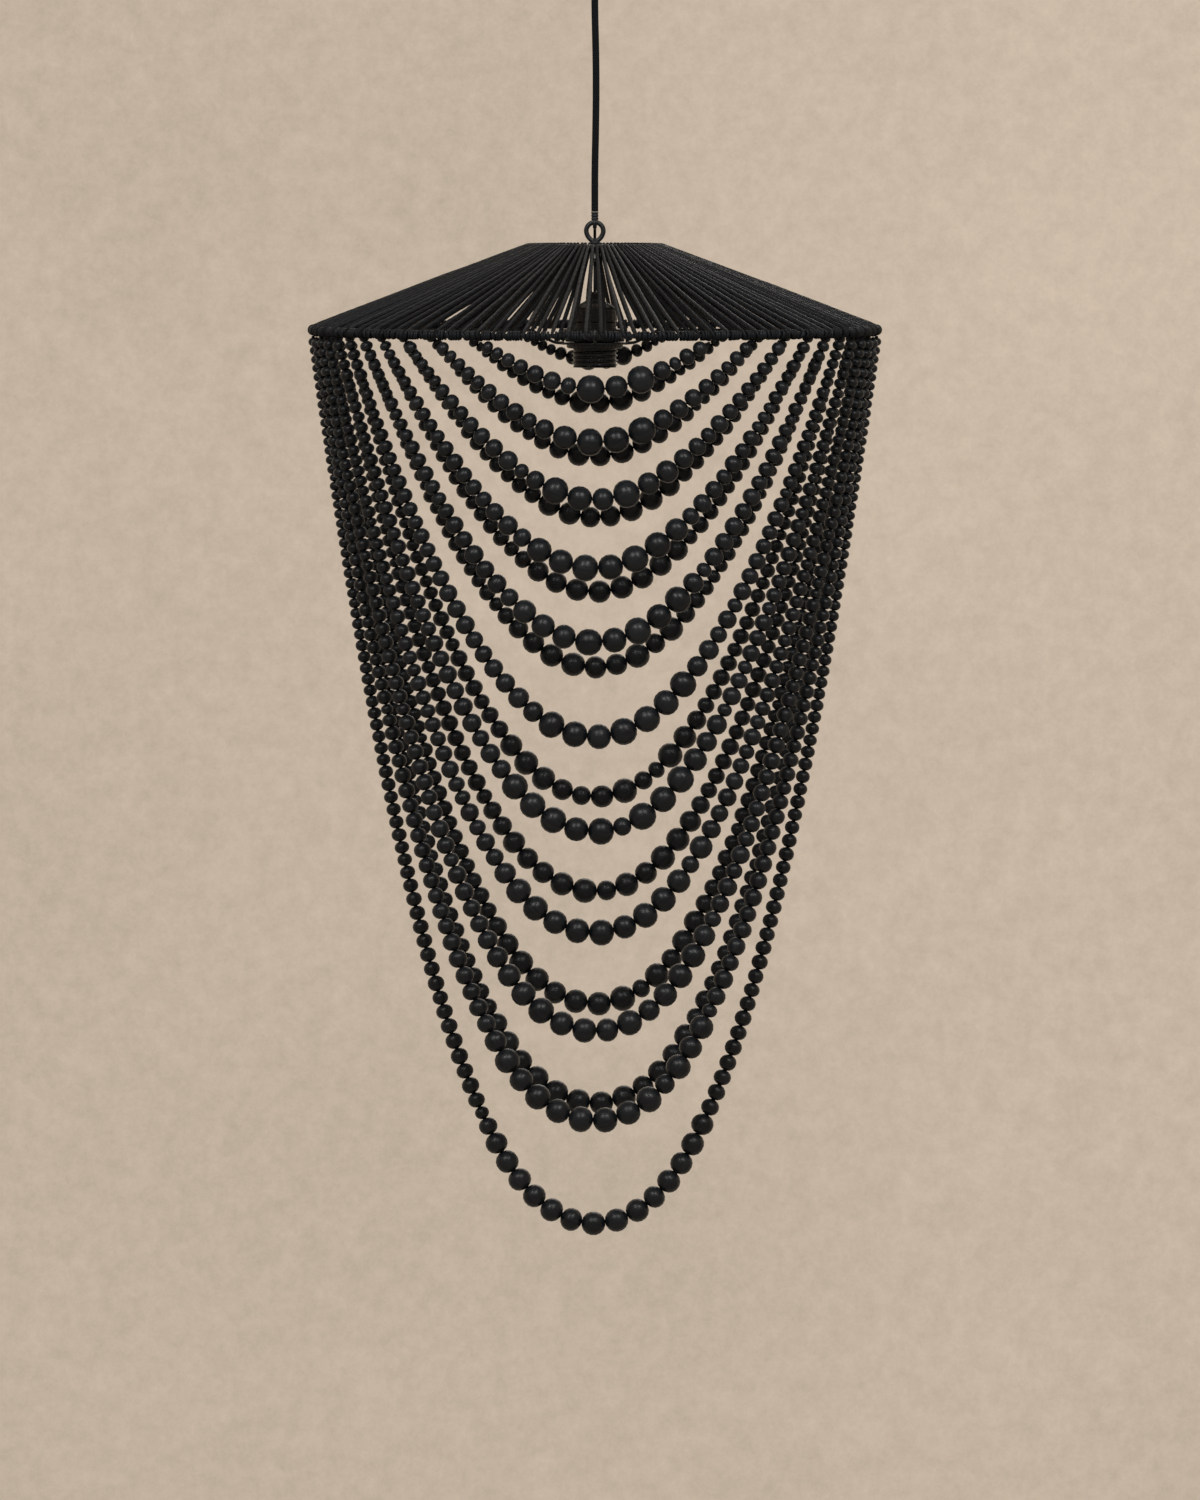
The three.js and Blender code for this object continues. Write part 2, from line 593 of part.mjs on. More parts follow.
// Lead from the hook's sleeve, past the hub, into the cap's neck.
function innerLead() {
  const back = HOOK_BACK + HOOK_SLEEVE / 2 + LEAD_CLEARANCE + LEAD / 2;
  const beside = Math.max(back, HUB_RADIUS + GAP + cornerRadius(LEAD, ROD_SIDES));
  const room = HUB_BOTTOM - CAP_TOP;
  const places = [
    [back, SLEEVE_TOP - LEAD],
    [back, (SLEEVE_TOP + HUB_TOP) / 2],
    [beside, HUB_TOP],
    [beside, HUB_BOTTOM],
    ...LEAD_BEND_SHARES.map(([out, up]) => [beside * out, CAP_TOP + room * up]),
    [0, CAP_TOP],
    [0, CAP_TOP - LEAD],
  ].map(([out, height]) => new THREE.Vector3(0, out, height));
  return swept(wireStations(places, LEAD, ROD_SIDES), new THREE.Vector3(1, 0, 0), ROD_SIDES);
}
add(lamp, "inner_lead", innerLead(), cordMaterial);

// Pendant cord, in the ceiling's frame
const route = new THREE.CatmullRomCurve3(CORD_ROUTE.map((p) => new THREE.Vector3(...p)));
add(root, "pendant_cord", tube(route, CORD, CORD_SIDES, CORD_STEPS), cordMaterial);

// Strands of beads

// Diameter of a bead at a share of the half strand, counted from the lowest bead.
const beadSize = (share) => BEADS[GRADE_END_SHARES.findIndex((end) => share <= end)];

// Load that the thread carries at each step of a half strand: the squares of the beads below it.
const loads = [0];
for (let i = 0; i < CHAIN_STEPS; i++) {
  loads.push(loads[i] + beadSize((i + 0.5) / CHAIN_STEPS) ** 2 / CHAIN_STEPS);
}

// Half of a hanging strand. At each step the slope is the load below divided by the level pull,
// and the pull is found by halving until the drop and the half span are in the right ratio.
function hangingHalf(halfSpan, drop) {
  const steps = loads.slice(1).map((load, i) => (load + loads[i]) / 2);
  const reach = (pull) => steps.reduce((sum, load) => sum + pull / Math.hypot(pull, load), 0) / CHAIN_STEPS;
  const fall = (pull) => steps.reduce((sum, load) => sum + load / Math.hypot(pull, load), 0) / CHAIN_STEPS;
  let low = loads[CHAIN_STEPS] / PULL_RANGE;
  let high = loads[CHAIN_STEPS] * PULL_RANGE;
  for (let i = 0; i < BISECTIONS; i++) {
    const middle = Math.sqrt(low * high);
    if (fall(middle) / reach(middle) > drop / halfSpan) low = middle;
    else high = middle;
  }
  const length = halfSpan / reach(low);
  const places = [[0, -drop]];
  steps.forEach((load, i) => {
    const [x, z] = places[i];
    const part = length / CHAIN_STEPS / Math.hypot(low, load);
    places.push([x + low * part, z + load * part]);
  });
  return { length, places };
}

// Place and direction on a half strand at a distance from its lowest bead.
function placeOn(half, distance) {
  const at = Math.min(Math.max(distance / half.length, 0), 1) * CHAIN_STEPS;
  const i = Math.min(Math.floor(at), CHAIN_STEPS - 1);
  const [x0, z0] = half.places[i];
  const [x1, z1] = half.places[i + 1];
  const part = at - i;
  const along = new THREE.Vector3(x1 - x0, 0, z1 - z0).normalize();
  return { x: x0 + (x1 - x0) * part, z: z0 + (z1 - z0) * part, along };
}

// Sections of a half strand from its lowest bead to the thread's end: distance and corner radius.
function strandSections(half, scale) {
  let size = beadSize(0) * scale;
  let distance = (size * PITCH_SHARE) / 2;
  const sections = [[0, size * CORNER_SHARE]];
  while (distance < half.length) {
    sections.push([distance, (size * WAIST_SHARE) / 2]);
    size = beadSize(distance / half.length) * scale;
    const pitch = size * PITCH_SHARE * (size < PAIR_BELOW * scale ? 2 : 1);
    const centre = distance + pitch / 2;
    if (-placeOn(half, centre).z < pitch / 2 + BEAD_CLEARANCE) break;
    sections.push([centre, size * CORNER_SHARE]);
    distance = centre + pitch / 2;
  }
  sections.push([half.length, THREAD / 2]);
  return sections;
}

// A whole strand: three-cornered sections, each turned a quarter of the way to the next corner.
function strand(plane, dropShare) {
  const halfSpan = Math.sqrt(RIM_RADIUS ** 2 - plane ** 2);
  const knot = GAP + THREAD / 2;
  const half = hangingHalf(halfSpan, dropShare * DEEPEST - knot);
  const scale = 1 - (DEPTH_SIZE_SHARE * plane) / RIM_RADIUS;
  const right = strandSections(half, scale);
  const all = [...right.slice(1).reverse().map(([distance, radius]) => [-distance, radius]), ...right];
  const middle = (all.length - 1) / 2;
  const stations = all.map(([distance, radius], i) => {
    const side = Math.sign(distance) || 1;
    const { x, z, along } = placeOn(half, Math.abs(distance));
    return {
      place: new THREE.Vector3(x * side, plane, z - knot),
      along: new THREE.Vector3(along.x, 0, along.z * side),
      radius,
      turn: ((i - middle) * Math.PI) / 2 / STRAND_CORNERS + Math.PI / 2,
    };
  });
  return swept(stations, new THREE.Vector3(0, 1, 0), STRAND_CORNERS);
}

const numbered = (index) => String(index + 1).padStart(2, "0");
FRONT_DROP_SHARES.forEach((share, i) => {
  add(lamp, `strand_front_${numbered(i)}`, strand(-(FRONT_PLANE - i * PLANE_STEP), share), beadMaterial);
});
BACK_DROP_SHARES.forEach((share, i) => {
  add(lamp, `strand_back_${numbered(i)}`, strand(BACK_PLANE - i * PLANE_STEP, share), beadMaterial);
});
add(lamp, "strand_middle", strand(MIDDLE_PLANE, 1), beadMaterial);

// The hole of both cup screws, right across to a reach on each side.
function screwDrill(reach) {
  const [left, right] = [-reach, reach].map((x) => new THREE.Vector3(x, 0, SCREW_LEVEL));
  return bar(left, right, CUP_SCREW + 2 * GAP, CUP_SCREW + 2 * GAP, SMALL_STEPS);
}

// Ceiling cup: a spun shell with a rounded lower edge, a hole for the grip and two side holes.
function ceilingCup() {
  const inner = CUP_RADIUS - CUP_WALL;
  const hole = GRIP_NECK / 2 + GAP;
  const rounding = (radius, outward) =>
    Array.from({ length: ROUNDING_STEPS + 1 }, (_, i) => {
      const angle = ((outward ? i : ROUNDING_STEPS - i) / ROUNDING_STEPS) * (Math.PI / 2);
      const middle = CUP_RADIUS - CUP_ROUND;
      return [middle + radius * Math.sin(angle), -CUP_HEIGHT + CUP_ROUND - radius * Math.cos(angle)];
    });
  const shellOfCup = turned(
    [
      [hole, -CUP_HEIGHT],
      ...rounding(CUP_ROUND, true),
      [CUP_RADIUS, 0],
      [inner, 0],
      ...rounding(CUP_ROUND - CUP_WALL, false),
      [hole, -CUP_HEIGHT + CUP_WALL],
      [hole, -CUP_HEIGHT],
    ],
    CUP_STEPS,
  );
  return cut(shellOfCup, screwDrill(CUP_RADIUS + OVERRUN));
}

// Crossbar with two ears turned down inside the cup.
const SCREW_LEVEL = -EAR_HEIGHT * SCREW_DEPTH_SHARE;
// The ears' outer faces stay clear of the cup's round wall at the bar's corners
const CUP_FLAT = (CUP_RADIUS - CUP_WALL) * Math.cos(Math.PI / CUP_STEPS);
const EAR_FACE = Math.sqrt((CUP_FLAT - GAP) ** 2 - (BAR_WIDTH / 2) ** 2);
function ceilingBar() {
  const flat = new THREE.BoxGeometry(2 * EAR_FACE, BAR_WIDTH, BAR_THICKNESS);
  const ear = (side) =>
    new THREE.BoxGeometry(BAR_THICKNESS, BAR_WIDTH, EAR_HEIGHT).translate(
      side * (EAR_FACE - BAR_THICKNESS / 2),
      0,
      -EAR_HEIGHT / 2,
    );
  const bent = joined(flat.translate(0, 0, -BAR_THICKNESS / 2), ear(-1), ear(1));
  const drills = [-1, 1].map((side) =>
    plug(BAR_HOLE / 2, -BAR_THICKNESS - OVERRUN, OVERRUN).translate(side * BAR_HOLE_OFFSET, 0, 0),
  );
  return cut(bent, ...drills, screwDrill(EAR_FACE + OVERRUN));
}

// A cup screw, driven in from the side.
function cupScrew(side) {
  const at = (x) => new THREE.Vector3(side * x, 0, SCREW_LEVEL);
  const seat = CUP_RADIUS + GAP;
  const top = seat + CUP_SCREW_HEAD_HEIGHT;
  const head = bar(at(seat), at(top), CUP_SCREW_HEAD, CUP_SCREW_CROWN, SMALL_STEPS);
  const shank = bar(at(seat - CUP_SCREW_LENGTH), at((seat + top) / 2), CUP_SCREW, CUP_SCREW, SMALL_STEPS);
  return joined(head, shank);
}

// Strain relief: a tapered grip under the cup with a threaded neck, and a nut inside.
const GRIP_TOP = -CUP_HEIGHT - GAP;
const GRIP_BOTTOM = GRIP_TOP - GRIP_LENGTH;
const GRIP_BORE = CORD / 2 + 2 * GAP;
const GRIP_NUT_BOTTOM = -CUP_HEIGHT + CUP_WALL + GAP;
function cordGrip() {
  const neckTop = GRIP_NUT_BOTTOM + GRIP_NUT_HEIGHT + GAP;
  return turned(
    [
      [GRIP_BORE, GRIP_BOTTOM],
      [GRIP_MOUTH / 2, GRIP_BOTTOM],
      [GRIP_WIDTH / 2, GRIP_TOP - GRIP_COLLAR],
      [GRIP_WIDTH / 2, GRIP_TOP],
      [GRIP_NECK / 2, GRIP_TOP],
      [GRIP_NECK / 2, neckTop],
      [GRIP_BORE, neckTop],
      [GRIP_BORE, GRIP_BOTTOM],
    ],
    SMALL_STEPS,
  );
}
const gripNut = hexNut(GRIP_NUT_WIDTH, GRIP_NECK, GRIP_NUT_BOTTOM, GRIP_NUT_HEIGHT);
const BLOCK_BOTTOM = -BAR_THICKNESS - GAP - BLOCK_HEIGHT;
const block = new THREE.BoxGeometry(BLOCK_LENGTH, BLOCK_WIDTH, BLOCK_HEIGHT);
add(root, "ceiling_cup", ceilingCup(), paintedSteel);
add(root, "ceiling_bar", ceilingBar(), zincSteel);
add(root, "cup_screw_left", cupScrew(-1), paintedSteel);
add(root, "cup_screw_right", cupScrew(1), paintedSteel);
add(root, "cord_grip", cordGrip(), moulded);
add(root, "grip_nut", gripNut, moulded);
add(root, "terminal_block", block.translate(0, 0, BLOCK_BOTTOM + BLOCK_HEIGHT / 2), whitePlastic);
const tail = plug(CORD / 2, GRIP_BOTTOM + TAIL_CLEARANCE, BLOCK_BOTTOM - GAP, CORD_SIDES);
add(root, "cord_tail", tail, cordMaterial);

export default root;
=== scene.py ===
import json
from typing import NamedTuple

import bpy
import numpy as np
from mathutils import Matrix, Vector


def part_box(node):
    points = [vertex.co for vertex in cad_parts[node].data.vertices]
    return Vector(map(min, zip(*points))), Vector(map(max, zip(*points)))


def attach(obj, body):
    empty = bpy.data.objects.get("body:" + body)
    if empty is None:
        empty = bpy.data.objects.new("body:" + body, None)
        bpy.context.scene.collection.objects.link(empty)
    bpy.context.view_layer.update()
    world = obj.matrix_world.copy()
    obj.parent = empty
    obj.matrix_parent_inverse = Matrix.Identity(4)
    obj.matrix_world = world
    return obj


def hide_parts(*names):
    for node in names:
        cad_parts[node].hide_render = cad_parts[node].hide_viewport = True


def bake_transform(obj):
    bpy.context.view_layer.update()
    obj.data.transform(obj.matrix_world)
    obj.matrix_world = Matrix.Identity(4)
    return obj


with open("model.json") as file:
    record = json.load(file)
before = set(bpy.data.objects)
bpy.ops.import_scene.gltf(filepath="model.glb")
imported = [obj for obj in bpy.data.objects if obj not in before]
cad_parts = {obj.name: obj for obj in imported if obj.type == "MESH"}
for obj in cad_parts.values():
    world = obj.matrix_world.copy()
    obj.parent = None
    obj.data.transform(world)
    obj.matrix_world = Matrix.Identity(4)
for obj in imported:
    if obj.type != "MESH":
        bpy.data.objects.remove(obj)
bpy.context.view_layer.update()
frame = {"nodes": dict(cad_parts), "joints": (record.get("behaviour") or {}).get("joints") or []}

# Sizes in millimetres, as the frame was built; meshes are made in metres
MM = 0.001
WIRE = 3.6
ROD = 2.6
PLAY = 0.3  # between pieces that sit on each other
WINDING_REACH = 3.05  # from the middle of the rim's wire to the middle of the cord round it
CORD_RIM_RADIUS = 1.9  # paper cord near the rim
CORD_TOP_RADIUS = 1.5  # and where it is pressed together at the top
CORD_TWIST = 19  # one turn of the two plies
COIL_RADIUS = 1.3  # paper cord pulled tight round the rim
RIM_PITCH = 2.5  # from turn to turn round the rim
SPOKE_ROOM = 2.0776 * COIL_RADIUS  # along the rim, for each spoke between the turns
PAPER_SIDES = 9  # corners of the paper cord's section
PANELS = 8
WRAPS = 14  # of cord round both rings, in one panel
BEAD_GRADES = [21, 16.5, 14, 12.2, 10.4]  # the chain's load follows the grades of the frame's beads
GRADE_ENDS = [0.15, 0.38, 0.61, 0.77, 1]
CORNER_SHARE = 0.58  # of the lowest bead's size, by which the frame's strand hangs below its curve
DEPTH_SHARE = 0.08  # by which beads are larger at the front than at the middle
THREAD = 1.6
CHAIN_STEPS = 300
BEAD_SIZES = [22.3, 21.6, 17.0, 15.0, 13.0, 11.4, 10.4]  # from the lowest bead up to the rim
BEAD_SIZE_SHARES = [0, 0.13, 0.16, 0.38, 0.61, 0.8, 1]
FLAT_SIZES = [10, 13, 17, 21]  # smaller beads are flatter
FLATNESS = [0.79, 0.87, 0.93, 0.965]
BEAD_SIDES = 12  # corners round a bead, and rings from hole to hole
BEAD_RINGS = 8
PASSING_SIZES = {"strand_front_08": 0.96, "strand_middle": 0.935}  # to clear their neighbours in a swing
EYE_RADIUS = 7.4  # to the middle of its wire
EYE_WIRE = 4.2
HOOK_WIRE = 3.6
HOOK_SLEEVE = 6.4
LEAD = 4.4  # inner lead's thickness
CORD = 6
CORD_ROUTE = [
    (0, 0, -52.3), (0, 0.3, -64), (0.2, 0.7, -77), (0.5, 1.0, -90), (0.8, 1.4, -103), (1.0, 1.8, -116),
    (1.1, 2.2, -129), (1.1, 2.6, -142), (1.0, 2.9, -155), (0.8, 3.3, -168), (0.6, 3.7, -181),
    (0.3, 4.1, -194), (0.1, 4.5, -207), (0, 4.9, -220), (0, 5.3, -233), (0, 5.6, -244.1),
]
FLOOR_LEVEL = -2150.0
WALL = (0.562, 0.462, 0.362)
SIDEWAYS = np.array([1.0, 0, 0])
BACKWARDS = np.array([0, 1.0, 0])
UP = np.array([0, 0, 1.0])


def box_of(node):
    """Lowest and highest corner of a node, in millimetres."""
    low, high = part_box(node)
    return np.array(low) / MM, np.array(high) / MM


def levels_of(node):
    """Heights of a node's underside and top."""
    low, high = box_of(node)
    return low[2], high[2]


def joint_place(name):
    """Place of a joint's axis, in millimetres."""
    return next(np.array(j["pos_m"]) / MM for j in frame["joints"] if j["name"] == name)


RIM_RADIUS = box_of("rim_ring")[1][0] - WIRE / 2
RIM_LEVEL = sum(levels_of("rim_ring")) / 2
CROWN_RADIUS = box_of("top_ring")[1][0] - WIRE / 2
CROWN_LEVEL = sum(levels_of("top_ring")) / 2
SLOPE = np.array([RIM_RADIUS - CROWN_RADIUS, CROWN_LEVEL - RIM_LEVEL])
SLOPE_LENGTH = np.hypot(*SLOPE)
SLOPE_OUT, SLOPE_DOWN = SLOPE / SLOPE_LENGTH


# Surfaces worked out as arrays


class Shape(NamedTuple):
    """Points, the corners of all faces in a row, and how many each face has.

    Lay holds for each corner the distance along the piece in metres, the angle round it, and an offset of
    its own. Mark holds for each point a tone, how much of an edge it is, and how deep in a groove it lies.
    On the paper cord the tone is lowered on the inner runs and the groove is darkened, both as painted shade.
    """

    points: np.ndarray
    corners: np.ndarray
    sizes: np.ndarray
    lay: np.ndarray
    mark: np.ndarray


def unit(vectors):
    """Vectors over their lengths."""
    return vectors / np.linalg.norm(vectors, axis=-1, keepdims=True)


def run_length(path):
    """Distance along a path at each of its points."""
    return np.concatenate([[0], np.cumsum(np.linalg.norm(np.diff(path, axis=0), axis=1))])


def full_turn(count):
    """Even angles round one turn."""
    return np.arange(count) * 2 * np.pi / count


def round_axis(radius, angle, height):
    """Points (radius cos a, radius sin a, height)."""
    return np.stack(np.broadcast_arrays(radius * np.cos(angle), radius * np.sin(angle), height), axis=-1)


def level_along(angle):
    """Level direction in which the points of round_axis move as the angle grows."""
    return np.stack([-np.sin(angle), np.cos(angle), 0 * angle], axis=-1)


def skin(points, distance, turn=0.0, offset=0.0, mark=(0.5, 0, 0), closed=False):
    """Surface over a grid of points, whose rows run along the piece and whose columns close round it.

    Each quad joins (row, column), (row, column + 1), (row + 1, column + 1) and (row + 1, column), and both
    open ends get one flat face. The lay is the distance, the angle less the turn, and the offset.
    """
    rows, columns = points.shape[:2]
    first = np.arange(rows if closed else rows - 1)
    row = first[:, None] * columns
    next_row = ((first + 1) % rows)[:, None] * columns
    column = np.arange(columns)
    next_column = (column + 1) % columns
    quads = [row + column, row + next_column, next_row + next_column, next_row + column]
    angle = np.arange(columns + 1) * 2 * np.pi / columns
    turns = turn if np.ndim(turn) else np.full(rows + 1, turn)
    lay = np.empty((len(first), columns, 4, 3))
    for corner, (step, side) in enumerate([(0, 0), (0, 1), (1, 1), (1, 0)]):
        lay[:, :, corner, 0] = distance[first + step][:, None]
        lay[:, :, corner, 1] = angle[side : columns + side] - turns[first + step][:, None]
    lay[..., 2] = offset
    corners, lays = [np.stack(quads, axis=-1).ravel()], [lay.reshape(-1, 3)]
    sizes = [np.full(len(first) * columns, 4)]
    if not closed:
        for end, order in ((0, column[::-1]), (rows - 1, column)):
            corners.append(end * columns + order)
            flat = np.broadcast_arrays(distance[end], angle[order], offset)
            lays.append(np.stack(flat, axis=-1))
            sizes.append([columns])
    marks = np.stack([np.broadcast_to(value, (rows, columns)) for value in mark], axis=-1)
    everything = (np.concatenate(values) for values in (corners, sizes, lays))
    return Shape(points.reshape(-1, 3), *everything, marks.reshape(-1, 3))


def merge(shapes):
    """One shape that holds several, where each one's corners are numbered on from the last."""
    shapes = list(shapes)
    starts = np.cumsum([0] + [len(shape.points) for shape in shapes[:-1]])
    shapes = [shape._replace(corners=shape.corners + start) for shape, start in zip(shapes, starts)]
    return Shape(*(np.concatenate(values) for values in zip(*shapes)))


def tube(path, normal, radius, sides=12, closed=False, turn=0.0, offset=0.0, mark=(0.5, 0, 0)):
    """Tube along a path: place + radius (cos a across + sin a upright), for a from 0 to one turn.

    Across is the normal crossed with the path's direction, and upright completes the pair.
    """
    if closed:
        along = unit(np.roll(path, -1, axis=0) - np.roll(path, 1, axis=0))
        distance = run_length(np.vstack([path, path[:1]])) * MM
    else:
        along = unit(np.gradient(path, axis=0))
        distance = run_length(path) * MM
    across = unit(np.cross(normal, along))
    upright = np.cross(along, across)
    angle = full_turn(sides)[:, None]
    reach = np.asarray(radius, float)
    reach = np.broadcast_to(reach[:, None] if reach.ndim == 1 else reach, (len(path), sides))
    ray = np.cos(angle) * across[:, None, :] + np.sin(angle) * upright[:, None, :]
    return skin(path[:, None, :] + reach[..., None] * ray, distance, turn, offset, mark, closed)


def eased(profile, ease, closed):
    """Profile whose sharp corners become (start + end) / 4 + corner / 2 between their start and end.

    Start and end lie the ease away from the corner. It also gives how much of an edge each point is.
    """
    back = np.roll(profile, 1, axis=0) - profile
    ahead = np.roll(profile, -1, axis=0) - profile
    tiny, most, nearly_straight = 1e-9, 0.45, 0.35
    back_length, ahead_length = (np.linalg.norm(side, axis=1, keepdims=True) + tiny for side in (back, ahead))
    start = profile + back / back_length * np.minimum(ease, most * back_length)
    end = profile + ahead / ahead_length * np.minimum(ease, most * ahead_length)
    cross = -back[:, 0] * ahead[:, 1] + back[:, 1] * ahead[:, 0]
    bend = np.arctan2(cross, -(back * ahead).sum(axis=1))
    smooth = np.abs(bend) < nearly_straight
    if not closed:
        smooth[[0, -1]] = True
        bend[[0, -1]] = 0
    middle = np.where(smooth[:, None], profile, (start + end) / 4 + profile / 2)
    kept = np.stack([~smooth, np.ones_like(smooth), ~smooth], axis=1).ravel()
    level = np.zeros((len(profile), 3))
    level[:, 1] = np.where(smooth, 0, bend / (np.pi / 2))
    level = level.ravel()[kept]
    points = np.stack([start, middle, end], axis=1).reshape(-1, 2)[kept]
    return points, np.clip(level, 0, 1)


def turned(profile, steps=48, ease=0.3, closed=True, reshape=None):
    """Body turned about the vertical axis: (radius cos a, radius sin a, height) for each point of a profile.

    The profile runs up the outside. Reshape may change the radius by height and angle, as a thread does.
    """
    outline, edge = eased(np.array(profile, float), ease, closed)
    radius, height, angle = np.broadcast_arrays(outline[:, :1], outline[:, 1:], full_turn(steps))
    if reshape:
        radius = reshape(radius, height, angle)
    distance = run_length(np.vstack([outline, outline[:1]])) * MM
    mark = (0.5, edge[:, None], 0)
    return skin(round_axis(radius, angle, height), distance, mark=mark, closed=closed)


def moved(shape, *by):
    """The shape, shifted."""
    return shape._replace(points=shape.points + np.array(by, float))


def spaced(path, spacing):
    """The same path with points at even distances."""
    length = run_length(path)
    at = np.linspace(0, length[-1], max(3, int(round(length[-1] / spacing)) + 1))
    return np.stack([np.interp(at, length, values) for values in path.T], axis=-1)


def smooth_path(places, spacing):
    """Curve through places, at even distances.

    Each span is 0.5 (2p1 + (p2-p0)t + (2p0-5p1+4p2-p3)t² + (3p1-p0-3p2+p3)t³).
    """
    places = np.array(places, float)
    padded = np.vstack([2 * places[0] - places[1], places, 2 * places[-1] - places[-2]])
    t = np.linspace(0, 1, 16, endpoint=False)[:, None]
    p0, p1, p2, p3 = (padded[i : len(padded) - 3 + i, None, :] for i in range(4))
    curve = 2 * p1 + (p2 - p0) * t + (2 * p0 - 5 * p1 + 4 * p2 - p3) * t**2
    curve = 0.5 * (curve + (3 * p1 - p0 - 3 * p2 + p3) * t**3)
    return spaced(np.vstack([curve.reshape(-1, 3), places[-1:]]), spacing)


def on_slope(down, out, angle):
    """Point of the shade: distance down the slope from the top ring, and distance out of it."""
    radius = CROWN_RADIUS + down * SLOPE_OUT + out * SLOPE_DOWN
    return round_axis(radius, angle, CROWN_LEVEL - down * SLOPE_DOWN + out * SLOPE_OUT)


def drift(rng, count, at):
    """Smooth random wave from -1 to 1, with the given number of places, read at shares from 0 to 1."""
    return np.interp(at * (count - 1), np.arange(count), rng.uniform(-1, 1, count))


# Shaders


class Nodes:
    """Adds nodes to a shader tree; its methods give values that change over the surface."""

    def __init__(self, tree):
        self.tree = tree

    def give(self, socket, value):
        """Sets an input, or links it to another node's output."""
        if isinstance(value, bpy.types.NodeSocket):
            self.tree.links.new(value, socket)
        else:
            socket.default_value = value

    def put(self, kind, values=None, **options):
        """Outputs of a new node, whose inputs are named or numbered."""
        made = self.tree.nodes.new("ShaderNode" + kind)
        for option, value in options.items():
            setattr(made, option, value)
        for name, value in (values or {}).items():
            self.give(made.inputs[name], value)
        return made.outputs

    def reckon(self, operation, *values):
        """Result of one arithmetic node."""
        return self.put("Math", dict(enumerate(values)), operation=operation)[0]

    def scaled(self, value, factor, plus=0.0):
        """Value times a factor, plus another value."""
        return self.reckon("MULTIPLY_ADD", value, factor, plus)

    def spread(self, value, low, high, to_low=0.0, to_high=1.0):
        """Value carried from one range to another, and held inside it."""
        names = {"Value": value, "From Min": low, "From Max": high, "To Min": to_low, "To Max": to_high}
        return self.put("MapRange", names)[0]

    def blend(self, share, *colours, kind="MIX"):
        """Colour between two."""
        first, second = ((*c, 1) if isinstance(c, tuple) else c for c in colours)
        return self.put("Mix", {0: share, 6: first, 7: second}, data_type="RGBA", blend_type=kind)[2]

    def split(self, vector):
        """The three numbers of a vector."""
        return self.put("SeparateXYZ", {0: vector})

    def noise(self, place, scale, detail, roughness=0.5):
        """Noise over places."""
        values = {"Vector": place, "Scale": scale, "Detail": detail, "Roughness": roughness}
        return self.put("TexNoise", values)[0]


class Finish(Nodes):
    """A material with one Principled shader."""

    def __init__(self, name, **constants):
        self.material = bpy.data.materials.new(name)
        self.material.use_nodes = True
        super().__init__(self.material.node_tree)
        self.inputs = self.tree.nodes["Principled BSDF"].inputs
        for title, value in constants.items():
            self.inputs[title.replace("_", " ")].default_value = value

    def read(self, attribute):
        """The three numbers that the mesh holds under a name."""
        return self.split(self.put("Attribute", attribute_name=attribute)["Vector"])

    def object_noise(self, scale, detail):
        """Noise over the object's own coordinates."""
        return self.noise(self.put("TexCoord")["Object"], scale, detail)

    def streaks(self, along, around, fineness):
        """Fibres along a cord or a bead's hole: noise over (along, cos a, sin a), stretched along."""
        distance, angle, shift = self.read("lay")
        distance = self.scaled(distance, along, self.scaled(shift, 41.0))
        across, upright = (self.scaled(self.reckon(wave, angle), around) for wave in ("COSINE", "SINE"))
        place = self.put("CombineXYZ", {0: distance, 1: across, 2: upright})[0]
        return self.noise(place, 1.0, fineness, 0.6)

    def patches(self, scale, fineness, low=0.32, high=0.68):
        """Mottled patches from 0 to 1."""
        return self.spread(self.object_noise(scale, fineness), low, high)

    def worn(self, scale, reach, share=1.0):
        """Edges where the finish has rubbed thin: the edge mark, broken up by noise, past a threshold."""
        rough = self.scaled(self.object_noise(scale, 3.0), 1.6, -0.1)
        broken = self.reckon("MULTIPLY", self.read("mark")[1], rough)
        return self.scaled(self.spread(broken, 1.0 - reach, 1.0), share)

    def dust(self, amount, scale):
        """Dust that settles on what faces up: the normal's height times patches of noise."""
        level = self.spread(self.split(self.put("NewGeometry")["Normal"])[2], 0.25, 1.0)
        return self.scaled(self.reckon("MULTIPLY", level, self.patches(scale, 4.0, 0.35, 0.75)), amount)

    def braid(self, strands, pitch):
        """Height, the higher of sin(n a + k s) and sin(n a - k s), and which of both lies over."""
        along, angle, _ = self.read("lay")
        forward = self.scaled(along, pitch)
        ways = (forward, self.scaled(forward, -1.0))
        left, right = (self.reckon("SINE", self.scaled(angle, strands, way)) for way in ways)
        over = self.spread(self.reckon("SUBTRACT", left, right), -0.5, 0.5)
        return self.reckon("MAXIMUM", left, right), over

    def made(self, colour, roughness, height, distance, strength):
        """The material, with colour, roughness, and a relief of the height times the distance in metres."""
        bump = self.put("Bump", {"Height": height, "Distance": distance, "Strength": strength})[0]
        for title, value in {"Base Color": colour, "Roughness": roughness, "Normal": bump}.items():
            self.give(self.inputs[title], value)
        return self.material


